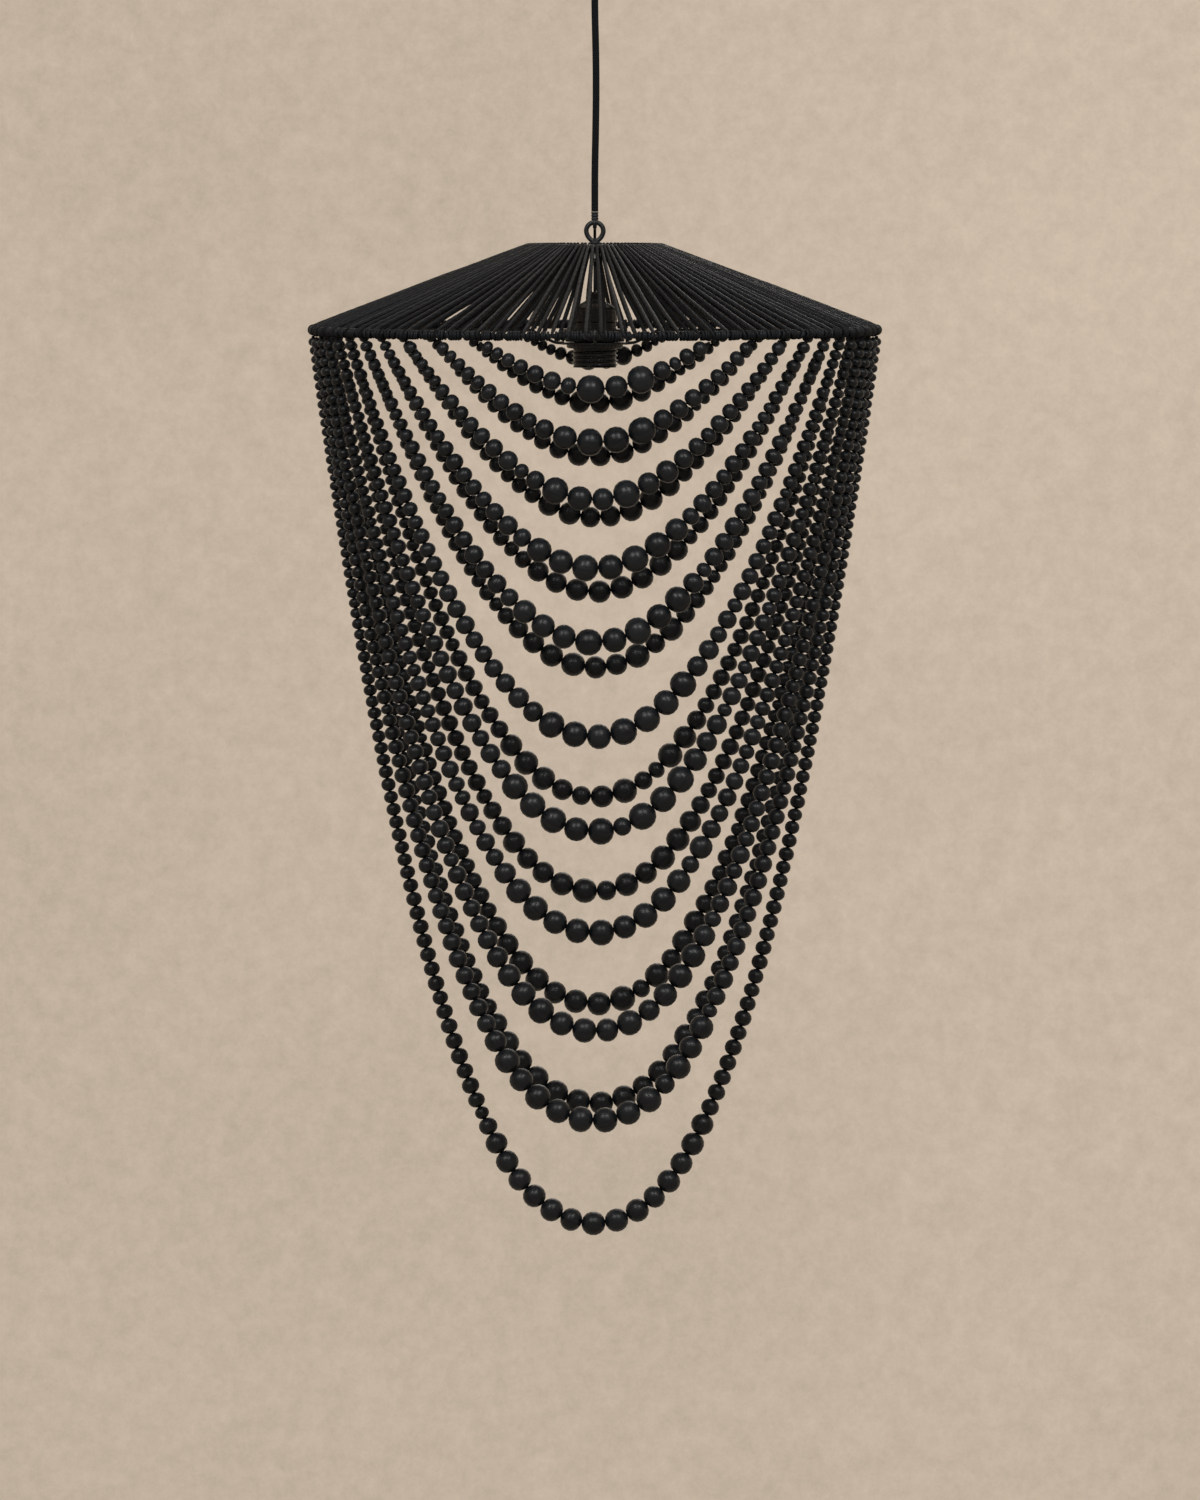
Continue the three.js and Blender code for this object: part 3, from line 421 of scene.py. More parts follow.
def bead_wood():
    """Turned beads, stained black: streaks of grain from hole to hole, browner at the rubbed hole edges."""
    f = Finish("stained_bead_wood", Specular_IOR_Level=0.2)
    grain = f.streaks(70.0, 5.0, 4.0)
    pores = f.streaks(260.0, 26.0, 2.0)
    depth = f.scaled(f.spread(grain, 0.3, 0.7), 0.55, f.scaled(f.read("mark")[0], 0.45))
    stain = f.blend(depth, (0.0010, 0.0018, 0.0031), (0.0138, 0.0158, 0.0184))
    stain = f.blend(f.worn(500.0, 0.75, 0.45), stain, (0.085, 0.062, 0.045))
    stain = f.blend(f.dust(0.03, 220.0), stain, (0.28, 0.275, 0.27))
    return f.made(stain, f.spread(grain, 0.3, 0.7, 0.28, 0.37), f.scaled(pores, 0.8, grain), 0.00015, 0.8)


def paper_cord():
    """Two plies of twisted paper: fibres along the twist, with painted shade in the groove between the plies
    and on the cord's inner runs.
    """
    f = Finish("paper_cord", Specular_IOR_Level=0.09)
    twisted = f.streaks(120.0, 9.0, 3.0)
    creases = f.streaks(520.0, 4.0, 2.0)
    tone, _, groove = f.read("mark")
    # The tone is lower on the cord's inner runs, which darkens them: painted shade
    depth = f.scaled(f.spread(twisted, 0.3, 0.7), 0.5, f.scaled(tone, 0.5))
    dye_and_painted_shade = f.blend(depth, (0.0003, 0.0008, 0.0016), (0.0175, 0.0200, 0.0235))
    # Painted shade: the groove between the plies is darkened
    dye_and_painted_shade = f.blend(f.scaled(groove, 0.8), dye_and_painted_shade, (0.0022, 0.0022, 0.0022))
    dye_and_painted_shade = f.blend(f.dust(0.02, 120.0), dye_and_painted_shade, (0.30, 0.295, 0.29))
    dull = f.scaled(tone, -0.35, f.spread(creases, 0.3, 0.7, 0.58, 0.74))
    return f.made(dye_and_painted_shade, dull, f.scaled(creases, 0.7, twisted), 0.0002, 0.7)


def braided_sleeve(name, strands, pitch, dark, light):
    """Braided textile over a cord: crossing strands that shine where one passes over the other, with a painted
    highlight on their crests and painted shade between them.
    """
    f = Finish(name, Specular_IOR_Level=0.08)
    height, over = f.braid(strands, pitch)
    fibre = f.streaks(400.0, 20.0, 2.0)
    # Colour lighter on the strands' crests and darker between them: painted highlight and painted shade
    lit = f.reckon("MULTIPLY", f.spread(height, -0.2, 1.0), f.spread(fibre, 0.25, 0.75, 0.5, 1.0))
    dull = f.spread(over, 0.0, 1.0, 0.62, 0.8)
    return f.made(f.blend(lit, dark, light), dull, f.scaled(fibre, 0.25, height), 0.0003, 0.9)


def powder_coat():
    """Black powder coat over steel: fine orange peel, rubbed edges and a little settled dust."""
    f = Finish("black_powder_coat", Specular_IOR_Level=0.28)
    peel = f.patches(1400.0, 2.0)
    dusty = f.dust(0.07, 160.0)
    coat = f.blend(f.patches(90.0, 3.0), (0.0052, 0.0066, 0.0088), (0.0108, 0.0122, 0.0146))
    coat = f.blend(f.worn(420.0, 0.5, 0.5), coat, (0.16, 0.155, 0.15))
    coat = f.blend(dusty, coat, (0.34, 0.32, 0.29))
    return f.made(coat, f.scaled(peel, 0.12, f.scaled(dusty, 1.2, 0.34)), peel, 0.00006, 0.8)


def zinc_steel():
    """Zinc plate: spangled patches, duller where it has oxidised."""
    f = Finish("zinc_plate", Metallic=1.0)
    oxide = f.patches(70.0, 5.0)
    scratch = f.patches(2200.0, 2.0)
    plate = f.blend(f.patches(320.0, 1.0), (0.46, 0.47, 0.49), (0.62, 0.63, 0.64))
    plate = f.blend(f.scaled(oxide, 0.5), plate, (0.36, 0.36, 0.35))
    return f.made(plate, f.scaled(oxide, 0.22, f.scaled(scratch, 0.08, 0.26)), scratch, 0.00002, 0.5)


def moulded_black(name, base, sheen, grain):
    """Moulded black plastic: a faint spark-eroded grain, greyer on rubbed edges."""
    f = Finish(name, Specular_IOR_Level=0.34)
    texture = f.patches(grain, 2.0)
    dusty = f.dust(0.1, 180.0)
    dark, light = (base * 0.7, base, base * 1.4), (base * 1.3, base * 1.6, base * 2)
    black = f.blend(f.patches(60.0, 2.0), dark, light)
    black = f.blend(f.worn(500.0, 0.6, 0.6), black, (0.09, 0.09, 0.088))
    black = f.blend(dusty, black, (0.33, 0.31, 0.28))
    return f.made(black, f.scaled(texture, 0.1, f.scaled(dusty, 1.0, sheen)), texture, 0.00004, 0.6)


def terminal_white():
    """White moulded terminal block, yellowed a little in patches and marked at its edges."""
    f = Finish("terminal_white", Specular_IOR_Level=0.45)
    texture = f.patches(1500.0, 2.0)
    white = f.blend(f.patches(120.0, 3.0), (0.74, 0.73, 0.69), (0.66, 0.63, 0.54))
    white = f.blend(f.worn(300.0, 0.7, 0.4), white, (0.42, 0.40, 0.36))
    return f.made(white, f.scaled(texture, 0.13, 0.42), texture, 0.00004, 0.5)


def contact_brass():
    """Drawn brass: bright on rubbed ridges, brown where it has tarnished."""
    f = Finish("contact_brass", Metallic=1.0)
    tarnish = f.patches(140.0, 5.0)
    drawn = f.patches(1800.0, 2.0)
    metal = f.blend(f.scaled(tarnish, 0.6), (0.74, 0.54, 0.26), (0.36, 0.24, 0.12))
    metal = f.blend(f.worn(260.0, 0.8), metal, (0.86, 0.66, 0.34))
    return f.made(metal, f.scaled(tarnish, 0.22, f.scaled(drawn, 0.06, 0.2)), drawn, 0.00002, 0.5)


def unglazed_ceramic():
    """Unglazed ceramic: off-white with fine specks and a chalky surface."""
    f = Finish("unglazed_ceramic", Specular_IOR_Level=0.35)
    body = f.patches(160.0, 4.0)
    speck = f.patches(1700.0, 1.0)
    white = f.blend(body, (0.73, 0.71, 0.66), (0.66, 0.63, 0.57))
    white = f.blend(f.spread(speck, 0.85, 1.0, 0.0, 0.5), white, (0.38, 0.33, 0.27))
    return f.made(white, f.scaled(body, 0.18, 0.6), speck, 0.00005, 0.6)


finishes = {
    "wooden_beads": bead_wood(),
    "paper_cord": paper_cord(),
    "textile_cord": braided_sleeve(
        "braided_sleeve", 12.0, 1500.0, (0.001, 0.0016, 0.0026), (0.0142, 0.0158, 0.0178)
    ),
    "thread": braided_sleeve("waxed_thread", 3.0, 5200.0, (0.004, 0.004, 0.004), (0.018, 0.018, 0.018)),
    "painted_steel": powder_coat(),
    "zinc_steel": zinc_steel(),
    "holder_plastic": moulded_black("moulded_holder", 0.004, 0.2, 900.0),
    "grip_plastic": moulded_black("moulded_grip", 0.008, 0.34, 1300.0),
    "terminal_plastic": terminal_white(),
    "brass_contacts": contact_brass(),
    "ceramic_insulator": unglazed_ceramic(),
}


def placed(name, data):
    """New object in the scene."""
    made = bpy.data.objects.new(name, data)
    bpy.context.scene.collection.objects.link(made)
    return made


def face(made, aim):
    """Turns a camera or a light towards a point."""
    made.rotation_mode = "QUATERNION"
    made.rotation_quaternion = (Vector(aim) - made.location).to_track_quat("-Z", "Y")


def piece(name, shape, finish, node=None, body="lamp", sharp=38):
    """Makes a shape a mesh object in metres, with its lay and mark, finish, body and the node it stands for.

    A piece given two bodies stays where it is made and is attached to neither.
    """
    mesh = bpy.data.meshes.new(name)
    mesh.vertices.add(len(shape.points))
    mesh.vertices.foreach_set("co", (shape.points * MM).astype(np.float32).ravel())
    mesh.loops.add(len(shape.corners))
    mesh.loops.foreach_set("vertex_index", shape.corners.astype(np.int32))
    mesh.polygons.add(len(shape.sizes))
    starts = np.concatenate([[0], np.cumsum(shape.sizes)[:-1]]).astype(np.int32)
    mesh.polygons.foreach_set("loop_start", starts)
    mesh.update(calc_edges=True)
    for title, domain, values in (("lay", "CORNER", shape.lay), ("mark", "POINT", shape.mark)):
        held = mesh.attributes.new(title, "FLOAT_VECTOR", domain)
        held.data.foreach_set("vector", values.astype(np.float32).ravel())
    mesh.shade_smooth()
    mesh.set_sharp_from_angle(angle=np.radians(sharp))
    mesh.materials.append(finishes[finish])
    made = placed(name, mesh)
    if isinstance(body, tuple):
        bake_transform(made)
    else:
        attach(made, body)
    if node:
        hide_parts(node)
    return made


# Camera, at the photograph's viewing angle


def photograph_camera():
    """Long lens 10 m away, a little above the rim, aimed at the middle of the strands."""
    data = bpy.data.cameras.new("photograph_camera")
    data.sensor_fit = "AUTO"
    data.sensor_width = 36
    data.lens = 276
    data.clip_start = 0.1
    data.clip_end = 60
    camera = placed("photograph_camera", data)
    camera.location = (0.0045, -10, -0.13)
    face(camera, (0.0045, 0, -0.7125))
    bpy.context.scene.camera = camera


photograph_camera()


# Cord and hook


def rod_end(path, radius, steps=4):
    """Path and radii of a rod whose last end is a dome: radius cos a at a distance radius sin a further on."""
    along = unit(path[-1] - path[-2])
    angle = np.linspace(0, 1, steps + 1)[1:] * np.pi / 2 * 0.96
    path = np.vstack([path, path[-1] + radius * np.sin(angle)[:, None] * along])
    return path, np.concatenate([np.full(len(path) - steps, radius), radius * np.cos(angle)])


def hook_shape():
    """Hook's wire, bent half a turn under the eye, and the sleeve crimped over the cord's end."""
    top = joint_place("lamp_swing")[2]
    bend = EYE_WIRE / 2 + PLAY + HOOK_WIRE / 2
    angle = np.linspace(0, np.pi, 25)
    curve = np.stack([0 * angle, bend * np.cos(angle), top - bend * np.sin(angle)], axis=-1)
    straight = np.array([[0, bend, top + HOOK_WIRE], [0, bend, top + HOOK_WIRE / 2]])
    path, radii = rod_end(np.vstack([straight, curve]), HOOK_WIRE / 2)
    _, back, high = box_of("cord_hook")[1]
    bottom = top - EYE_WIRE / 4
    r = HOOK_SLEEVE / 2
    outline = [(r * 0.78, bottom), (r, bottom + 0.5)]
    for share in (0.3, 0.55, 0.8):
        groove = bottom + share * (high - bottom)
        outline += [(r, groove - 0.8), (r * 0.88, groove - 0.3), (r * 0.88, groove + 0.3), (r, groove + 0.8)]
    outline += [(r, high - 0.5), (r * 0.97, high)]
    sleeve = moved(turned(outline, 32, 0.15, closed=False), 0, back - r, 0)
    return merge([tube(path, SIDEWAYS, radii, 16), sleeve])


hook = piece("hook_and_sleeve", hook_shape(), "painted_steel", "cord_hook", "hanging_cord")
route = smooth_path(CORD_ROUTE, 1.6)
cord_shape = tube(route, SIDEWAYS, CORD / 2, 20)
cord = piece("braided_cord", cord_shape, "textile_cord", "pendant_cord", "hanging_cord")


# Shade: cord wound round the frame


def paper_tube(rng, line, angle, radius, closed):
    """Two-ply cord along places (down, out) at angles round the shade; its section turns as it goes.

    The section is radius (0.9 + 0.1 |cos b|), where b turns once in each twist's length. A closed cord
    makes a whole number of turns. Its mark carries painted shade: a lower tone on the inner runs, and the
    groove between the plies.
    """
    path = on_slope(*line.T, angle)
    distance = run_length(np.vstack([path, path[:1]]))
    twist = CORD_TWIST * rng.uniform(0.85, 1.2)
    if closed:
        twist = distance[-1] / round(distance[-1] / twist)
    turn = distance * 2 * np.pi / twist
    lobe = np.abs(np.cos(full_turn(PAPER_SIDES) - turn[:-1, None]))
    # Random tone, lowered towards nothing on the runs inside the frame: painted shade on the inner runs
    tone_and_inner_shade = rng.uniform(0.2, 1.0) * np.clip(0.6 + line[:, 1] / WINDING_REACH, 0, 1)[:, None]
    # The third mark, (1 - lobe)², is the groove between the plies, which the finish darkens as painted shade
    section, mark = radius[:, None] * (0.9 + 0.1 * lobe), (tone_and_inner_shade, 0, (1 - lobe) ** 2)
    return tube(path, level_along(angle), section, PAPER_SIDES, closed, turn, rng.uniform(0, 9), mark)


def round_wire(start, reach, angle):
    """Places (down, out) round a ring's wire: (start + reach sin t, reach cos t)."""
    return np.stack([start + reach * np.sin(angle), reach * np.cos(angle)], axis=-1)


def rim_coil(rng, start, end):
    """Cord round the rim between two spokes, which moves along by a pitch each turn.

    The turns lean, and stand a little in or out, as hand winding does. Both ends lie on the inner side.
    """
    turns = max(1, round((end - start) * RIM_RADIUS / RIM_PITCH))
    t = np.linspace(0, 1, turns * 18 + 1)
    pitch = (end - start) / turns
    spin = np.pi - t * turns * 2 * np.pi
    angle = start + (end - start) * t + pitch * (0.3 * drift(rng, turns + 2, t) + 0.4 * np.sin(spin))
    line = round_wire(SLOPE_LENGTH, WINDING_REACH + 0.2 * drift(rng, turns + 2, t), spin)
    radius = COIL_RADIUS * (1 + 0.05 * drift(rng, turns + 2, t))
    return paper_tube(rng, line, np.clip(angle, start, end), radius, False)


def wrap(rng, crown, rim, lag_crown, lag_rim):
    """One loop of cord: down outside the frame, under the rim, up inside, and over the top ring.

    The inner run lags by an angle behind the outer one, and both bow a little.
    """
    half_turn = np.linspace(0, np.pi, 13)
    round_rim = round_wire(SLOPE_LENGTH, WINDING_REACH, half_turn)
    round_crown = round_wire(0, -(WIRE / 2 + CORD_TOP_RADIUS * 0.96), half_turn)
    down, out = spaced(np.vstack([round_rim, round_crown, round_rim[:1]]), 1.7)[:-1].T
    share = np.clip(down / SLOPE_LENGTH, 0, 1)
    inside = 0.5 - 0.5 * np.clip(out / WINDING_REACH, -1, 1)
    bow = np.sin(np.pi * share)
    layer = np.where(out > 0, 1, -1)
    proud = 0.3 * drift(rng, 9, share) + 0.25 * layer * rng.uniform(0, 1)
    line = np.stack([down, out + bow * proud], axis=-1)
    outer_angle = crown + (rim - crown) * share
    inner_angle = crown + lag_crown + (rim + lag_rim - crown - lag_crown) * share
    angle = outer_angle * (1 - inside) + inner_angle * inside + 0.003 * bow * drift(rng, 5, share)
    thick = CORD_RIM_RADIUS * rng.uniform(0.93, 1.07)
    radius = CORD_TOP_RADIUS + (thick - CORD_TOP_RADIUS) * np.clip(share * 2.5, 0, 1)
    pressed = np.clip((down - SLOPE_LENGTH + 7) / 6, 0, 1)
    radius += (COIL_RADIUS * 1.12 - radius) * pressed
    return paper_tube(rng, line, angle, radius, True)


def wound_panel(index):
    """One part of the shade: its wraps, and the turns round the rim that carry each to the next."""
    rng = np.random.default_rng(40 + index)
    width = 2 * np.pi / PANELS
    start = index * width
    pitch = width / WRAPS
    middles = start + (np.arange(WRAPS) + 0.5) * pitch
    at_rim = middles + pitch * np.clip(rng.normal(0, 0.2, WRAPS), -0.3, 0.3)
    at_crown = middles + pitch * np.clip(rng.normal(0, 0.1, WRAPS), -0.2, 0.2)
    lag_rim = pitch * rng.uniform(0.08, 0.34, WRAPS) * rng.choice([-1, 1], WRAPS, p=[0.25, 0.75])
    lag_crown = pitch * rng.uniform(-0.3, 0.5, WRAPS)
    shapes = [wrap(rng, *places) for places in zip(at_crown, at_rim, lag_crown, lag_rim)]
    room = SPOKE_ROOM / RIM_RADIUS
    stops = np.concatenate([[start - room / 2], at_rim, [start + width + room / 2]])
    for before, after in zip(stops[:-1], stops[1:]):
        if after - before > 2.4 * room:
            shapes.append(rim_coil(rng, before + room, after - room))
    return merge(shapes)


for i in range(PANELS):
    piece(f"wound_panel_{i + 1}", wound_panel(i), "paper_cord", f"cord_panel_{i + 1}", sharp=80)


# Strands of beads


def hanging_half(half_span, drop):
    """Half of a hanging strand: at each step the slope is the load below over the level pull.

    The load is the sum of the squares of the beads' sizes. The pull is halved in until the drop over the
    half span is right. Gives distances from the lowest point, and the places (x, z) there.
    """
    share = (np.arange(CHAIN_STEPS) + 0.5) / CHAIN_STEPS
    weight = np.array(BEAD_GRADES)[np.searchsorted(GRADE_ENDS, share)] ** 2 / CHAIN_STEPS
    total = np.concatenate([[0], np.cumsum(weight)])
    load = (total[1:] + total[:-1]) / 2
    low, high = total[-1] / 1e4, total[-1] * 1e4
    for _ in range(60):
        pull = np.sqrt(low * high)
        steep = (load / np.hypot(pull, load)).sum() / (pull / np.hypot(pull, load)).sum()
        low, high = (pull, high) if steep > drop / half_span else (low, pull)
    run, rise = low / np.hypot(low, load), load / np.hypot(low, load)
    step = half_span / run.mean() / CHAIN_STEPS
    x = np.concatenate([[0], np.cumsum(run) * step])
    z = np.concatenate([[0], np.cumsum(rise) * step]) - drop
    return np.arange(CHAIN_STEPS + 1) * step, x, z


def bead_row(rng, length, scale):
    """Beads side by side along a strand: distance of each one's middle, its radius and its half height."""
    stretch = np.interp(length, [250, 800], [0.26, 0.15]) / BEAD_SIZE_SHARES[1]
    shares = np.array(BEAD_SIZE_SHARES)
    shares = np.minimum(shares * (1 + (stretch - 1) * (1 - shares) ** 2), 1)
    uneven = np.interp(length, [600, 850], [1, 0.35])
    spare = np.interp(length, [120, 350], [2.2, 0.2])
    at, row = -length + spare, []
    while True:
        size = np.interp(abs(at) / length, shares, BEAD_SIZES) * scale
        size *= 1 + uneven * np.clip(rng.normal(0, 0.05), -0.12, 0.05)
        if rng.random() < 0.09 * uneven:
            size *= rng.uniform(0.78, 0.9)
        half = size / 2 * (np.interp(size, FLAT_SIZES, FLATNESS) * rng.uniform(0.95, 1.03))
        if at + 2 * half > length - spare + 0.8:
            break
        row.append((at + half, size / 2, half))
        at += 2 * half
    row = np.array(row)
    row[:, 0] += (length - spare - at) * (row[:, 0] + length) / (2 * length)
    return row.T


def bead_shapes(centres, axes, radius, half, spin, tone, offset):
    """Beads as (r cos t (cos a side + sin a third) + h sin t axis), with t cut short where the hole is."""
    count = len(centres)
    side = unit(np.cross(BACKWARDS, axes))
    third = np.cross(axes, side)
    hole = np.clip(0.2 * radius, 1.35, 2.2)
    t = np.linspace(-1, 1, BEAD_RINGS) * np.arccos(hole / radius)[:, None]
    turn = (full_turn(BEAD_SIDES) + spin[:, None])[..., None]
    ring = np.cos(turn) * side[:, None, :] + np.sin(turn) * third[:, None, :]
    squash = np.sign(np.sin(t)) * np.abs(np.sin(t)) ** 0.94
    out = (radius[:, None] * np.cos(t))[:, :, None, None] * ring[:, None, :, :]
    up = (half[:, None] * squash / squash[:, -1:])[:, :, None, None] * axes[:, None, None, :]
    points = centres[:, None, None, :] + out + up
    model = skin(points[0], np.zeros(BEAD_RINGS))
    corners = model.corners + BEAD_RINGS * BEAD_SIDES * np.arange(count)[:, None]
    lay = np.broadcast_to(model.lay, (count, *model.lay.shape)).copy()
    lay[..., 0] = np.repeat(half[:, None] * squash, BEAD_SIDES, axis=1)[:, model.corners] * MM
    lay[..., 2] = offset[:, None]
    mark = np.zeros((count, BEAD_RINGS, BEAD_SIDES, 3))
    mark[..., 0] = tone[:, None, None]
    mark[:, [0, -1], :, 1] = 1
    points, lay, mark = (values.reshape(-1, 3) for values in (points, lay, mark))
    return Shape(points, corners.ravel(), np.tile(model.sizes, count), lay, mark)


def mirrored(half, sign=1):
    """Values along the right half of a strand, after the same ones of its left half."""
    return np.concatenate([sign * half[:0:-1], half])


def strand(index, node):
    """A strand's beads on their thread, along the chain that its node was built on; gives its two ends."""
    rng = np.random.default_rng(900 + index)
    _, depth, level = joint_place(node.replace("strand", "swing"))
    scale = 1 - DEPTH_SHARE * depth / RIM_RADIUS
    lowest = levels_of(node)[0] + CORNER_SHARE * BEAD_GRADES[0] * scale
    half_s, half_x, half_z = hanging_half(np.sqrt(RIM_RADIUS**2 - depth**2), level - lowest)
    s, x, z = mirrored(half_s, -1), mirrored(half_x, -1), mirrored(half_z) + level
    length = s[-1]
    size = PASSING_SIZES.get(node, 1) * scale * np.interp(length, [75, 105], [0.85, 1])
    middle, radius, half = bead_row(rng, length, size)
    curves = (x, z, np.gradient(x, s), np.gradient(z, s))
    at_x, at_z, slope_x, slope_z = (np.interp(middle, s, values) for values in curves)
    count = len(middle)
    centres = np.stack([at_x, depth + rng.normal(0, 0.15, count), at_z], axis=-1)
    axes = unit(np.stack([slope_x, 0 * middle, slope_z], axis=-1) + rng.normal(0, 0.05, (count, 3)))
    spin = rng.uniform(0, 2 * np.pi, count)
    tone = rng.beta(1.6, 2.2, count)
    beads = bead_shapes(centres, axes, radius, half, spin, tone, rng.uniform(0, 9, count))
    piece(node.replace("strand", "beads"), beads, "wooden_beads", node, node, sharp=45)
    line = spaced(np.stack([x, 0 * x + depth, z], axis=-1), 6)
    thread = tube(line, BACKWARDS, THREAD / 2, 6)
    piece(node.replace("strand", "thread"), thread, "thread", body=node)
    return [(x[0], depth, level), (x[-1], depth, level)]


def thread_tie(place):
    """Thread looped round the rim's winding, (reach cos t inwards, reach sin t up), with a knot under it."""
    angle = np.arctan2(place[1], place[0])
    t = full_turn(20)
    reach = WINDING_REACH + COIL_RADIUS
    path = round_axis(RIM_RADIUS + reach * np.cos(t), angle, RIM_LEVEL + reach * np.sin(t))
    sideways = level_along(angle)
    loops = [
        tube(path + sideways * shift, sideways, THREAD * 0.32, 6, closed=True, mark=(0.6, 0, 0))
        for shift in (-0.6, 0.6)
    ]
    knot = turned([(0.5, -1.3), (1.25, -0.9), (1.5, 0), (1.2, 0.9), (0.5, 1.2)], 10, 0.1, False)
    return merge([*loops, moved(knot, *place)])


strand_nodes = sorted(n for n in frame["nodes"] if n.startswith("strand_"))
ends = [end for i, node in enumerate(strand_nodes) for end in strand(i, node)]
piece("strand_ties", merge(thread_tie(end) for end in ends), "thread")


# Frame and eye


def welded_rod(path, normal, flare=1.5):
    """Rod whose radius swells at both ends, by flare exp(-distance / 1.5 mm), as a weld leaves it."""
    distance = run_length(path)
    near = np.minimum(distance, distance[-1] - distance)
    return tube(path, normal, ROD / 2 * (1 + (flare - 1) * np.exp(-near / 1.5)), 14)


def frame_rib(angle):
    """Straight rod down the slope, from wire to wire."""
    inset = WIRE / 2 + 0.5
    length = SLOPE_LENGTH - 2 * inset
    down = [np.linspace(0, 6, 9), np.linspace(9, length - 9, 12), length - np.linspace(6, 0, 9)]
    return welded_rod(on_slope(np.concatenate(down) + inset, 0, angle), level_along(angle), 1.28)


def ring_section(inner, outer, low, high):
    """Closed profile of a ring between two radii and two heights."""
    return [(outer, low), (outer, high), (inner, high), (inner, low)]


def straight(radius, levels):
    """Profile points of one radius at several heights."""
    return [(radius, level) for level in levels]


def top_spider():
    """Bored hub on four welded arms."""
    hub = turned(ring_section(3.1, 9, *levels_of("top_spider")), 48, 0.7)
    radius = np.concatenate([np.linspace(8.6, 14, 8), np.linspace(18, 48, 6), np.linspace(50, 55.2, 8)])
    arms = [welded_rod(round_axis(radius, angle, CROWN_LEVEL), UP) for angle in full_turn(4) + np.pi / 4]
    return merge([hub, *arms])


def thread_phase(height, pitch, angle):
    """Fraction of height / pitch - a / turn."""
    return np.mod(height / pitch - angle / (2 * np.pi), 1)


def thread_ridges(low, high, pitch, depth, beyond=0):
    """Reshapes a radius by depth (1 - |1 - 2 f|), f being the thread's phase, where it is beyond another."""

    def reshape(radius, height, angle):
        inside = (height > low) & (height < high) & (radius > beyond)
        return radius - np.where(inside, depth * np.abs(1 - 2 * thread_phase(height, pitch, angle)), 0)

    return reshape


def eye_bolt():
    """Loop drawn down to a point over a collar, and a shank with a fine thread."""
    low = levels_of("eye_bolt")[0]
    collar = levels_of("top_spider")[1] + PLAY
    centre = joint_place("lamp_swing")[2] - EYE_RADIUS
    t = full_turn(48)
    drawn = 1.6 * np.clip(-np.sin(t), 0, 1) ** 3
    path = np.stack([EYE_RADIUS * np.cos(t), 0 * t, centre + EYE_RADIUS * np.sin(t) - drawn], axis=-1)
    loop = tube(path, -BACKWARDS, EYE_WIRE / 2, 18, closed=True)
    outline = [(2.1, low), (2.8, low + 0.7), *straight(2.8, np.arange(low + 1, collar - 2, 0.13)[6:])]
    outline += [(2.8, collar), (4.2, collar), (4.5, collar + 0.4), (4.5, collar + 1.8), (4.1, collar + 2.3)]
    outline += [(2.6, collar + 3.2), (2.1, collar + 4)]
    shank = turned(outline, 36, 0.2, False, thread_ridges(low + 0.7, collar - 2, 0.8, 0.34))
    return merge([loop, shank])


def from_flat(angle):
    """Cosine of the angle to the nearest flat of a hexagon."""
    return np.cos(np.mod(angle + np.pi / 6, np.pi / 3) - np.pi / 6)


def hex_nut(width, bore, node):
    """Hexagonal nut, width / 2 / cos(a - nearest flat), with cone-cut ends and a threaded bore."""
    low, high = levels_of(node)
    cut = 0.16 / 3

    def reshape(radius, height, angle):
        cone = width / 2 * (1 - cut) + np.minimum(height - low, high - height) * 1.7
        return np.where(radius > width / 3, np.minimum(width / 2 / from_flat(angle), cone), radius)

    shares = np.concatenate([np.linspace(0, 0.2, 5), np.linspace(0.3, 0.7, 3), np.linspace(0.8, 1, 5)])
    inner = [(bore + 0.25, high), (bore, high - 0.4), (bore, low + 0.4), (bore + 0.25, low)]
    return turned(straight(width / 2, low + (high - low) * shares) + inner, 72, 0.1, True, reshape)


for i in range(1, 5):
    x, y, _ = sum(box_of(f"frame_rib_{i}")) / 2
    piece(f"welded_rib_{i}", frame_rib(np.arctan2(y, x)), "painted_steel", f"frame_rib_{i}")
piece("welded_top_spider", top_spider(), "painted_steel", "top_spider")
piece("threaded_eye", eye_bolt(), "painted_steel", "eye_bolt", sharp=60)
piece("hex_nut_under_hub", hex_nut(10, 3.1, "eye_nut"), "zinc_steel", "eye_nut")


# Lampholder


def holder_arms():
    """Carrier ring, and four rods that dip from the rim's level down to it."""
    low = levels_of("holder_spider")[0]
    level = low + ROD / 2
    ring = turned(ring_section(20.35, 29, low, low + 1.6), 64, 0.35)
    places = [(241.5, RIM_LEVEL), (190, RIM_LEVEL), (120, RIM_LEVEL), (62, RIM_LEVEL), (54, RIM_LEVEL - 0.9)]
    places += [(45, (RIM_LEVEL + level) / 2), (36, level + 0.9), (31, level), (26.6, level)]
    radius, _, height = smooth_path([(r, 0, z) for r, z in places], 2.4).T
    arms = [welded_rod(round_axis(radius, angle, height), level_along(angle), 1.35) for angle in full_turn(4)]
    return merge([ring, *arms])


def grip_ribs(count, depth, low, high, beyond):
    """Reshapes a radius by -depth (0.5 - 0.5 cos(count a)) ^ 2 between two heights, beyond a radius."""

    def reshape(radius, height, angle):
        rib = depth * (0.5 - 0.5 * np.cos(count * angle)) ** 2
        return radius - np.where((height > low) & (height < high) & (radius > beyond), rib, 0)

    return reshape


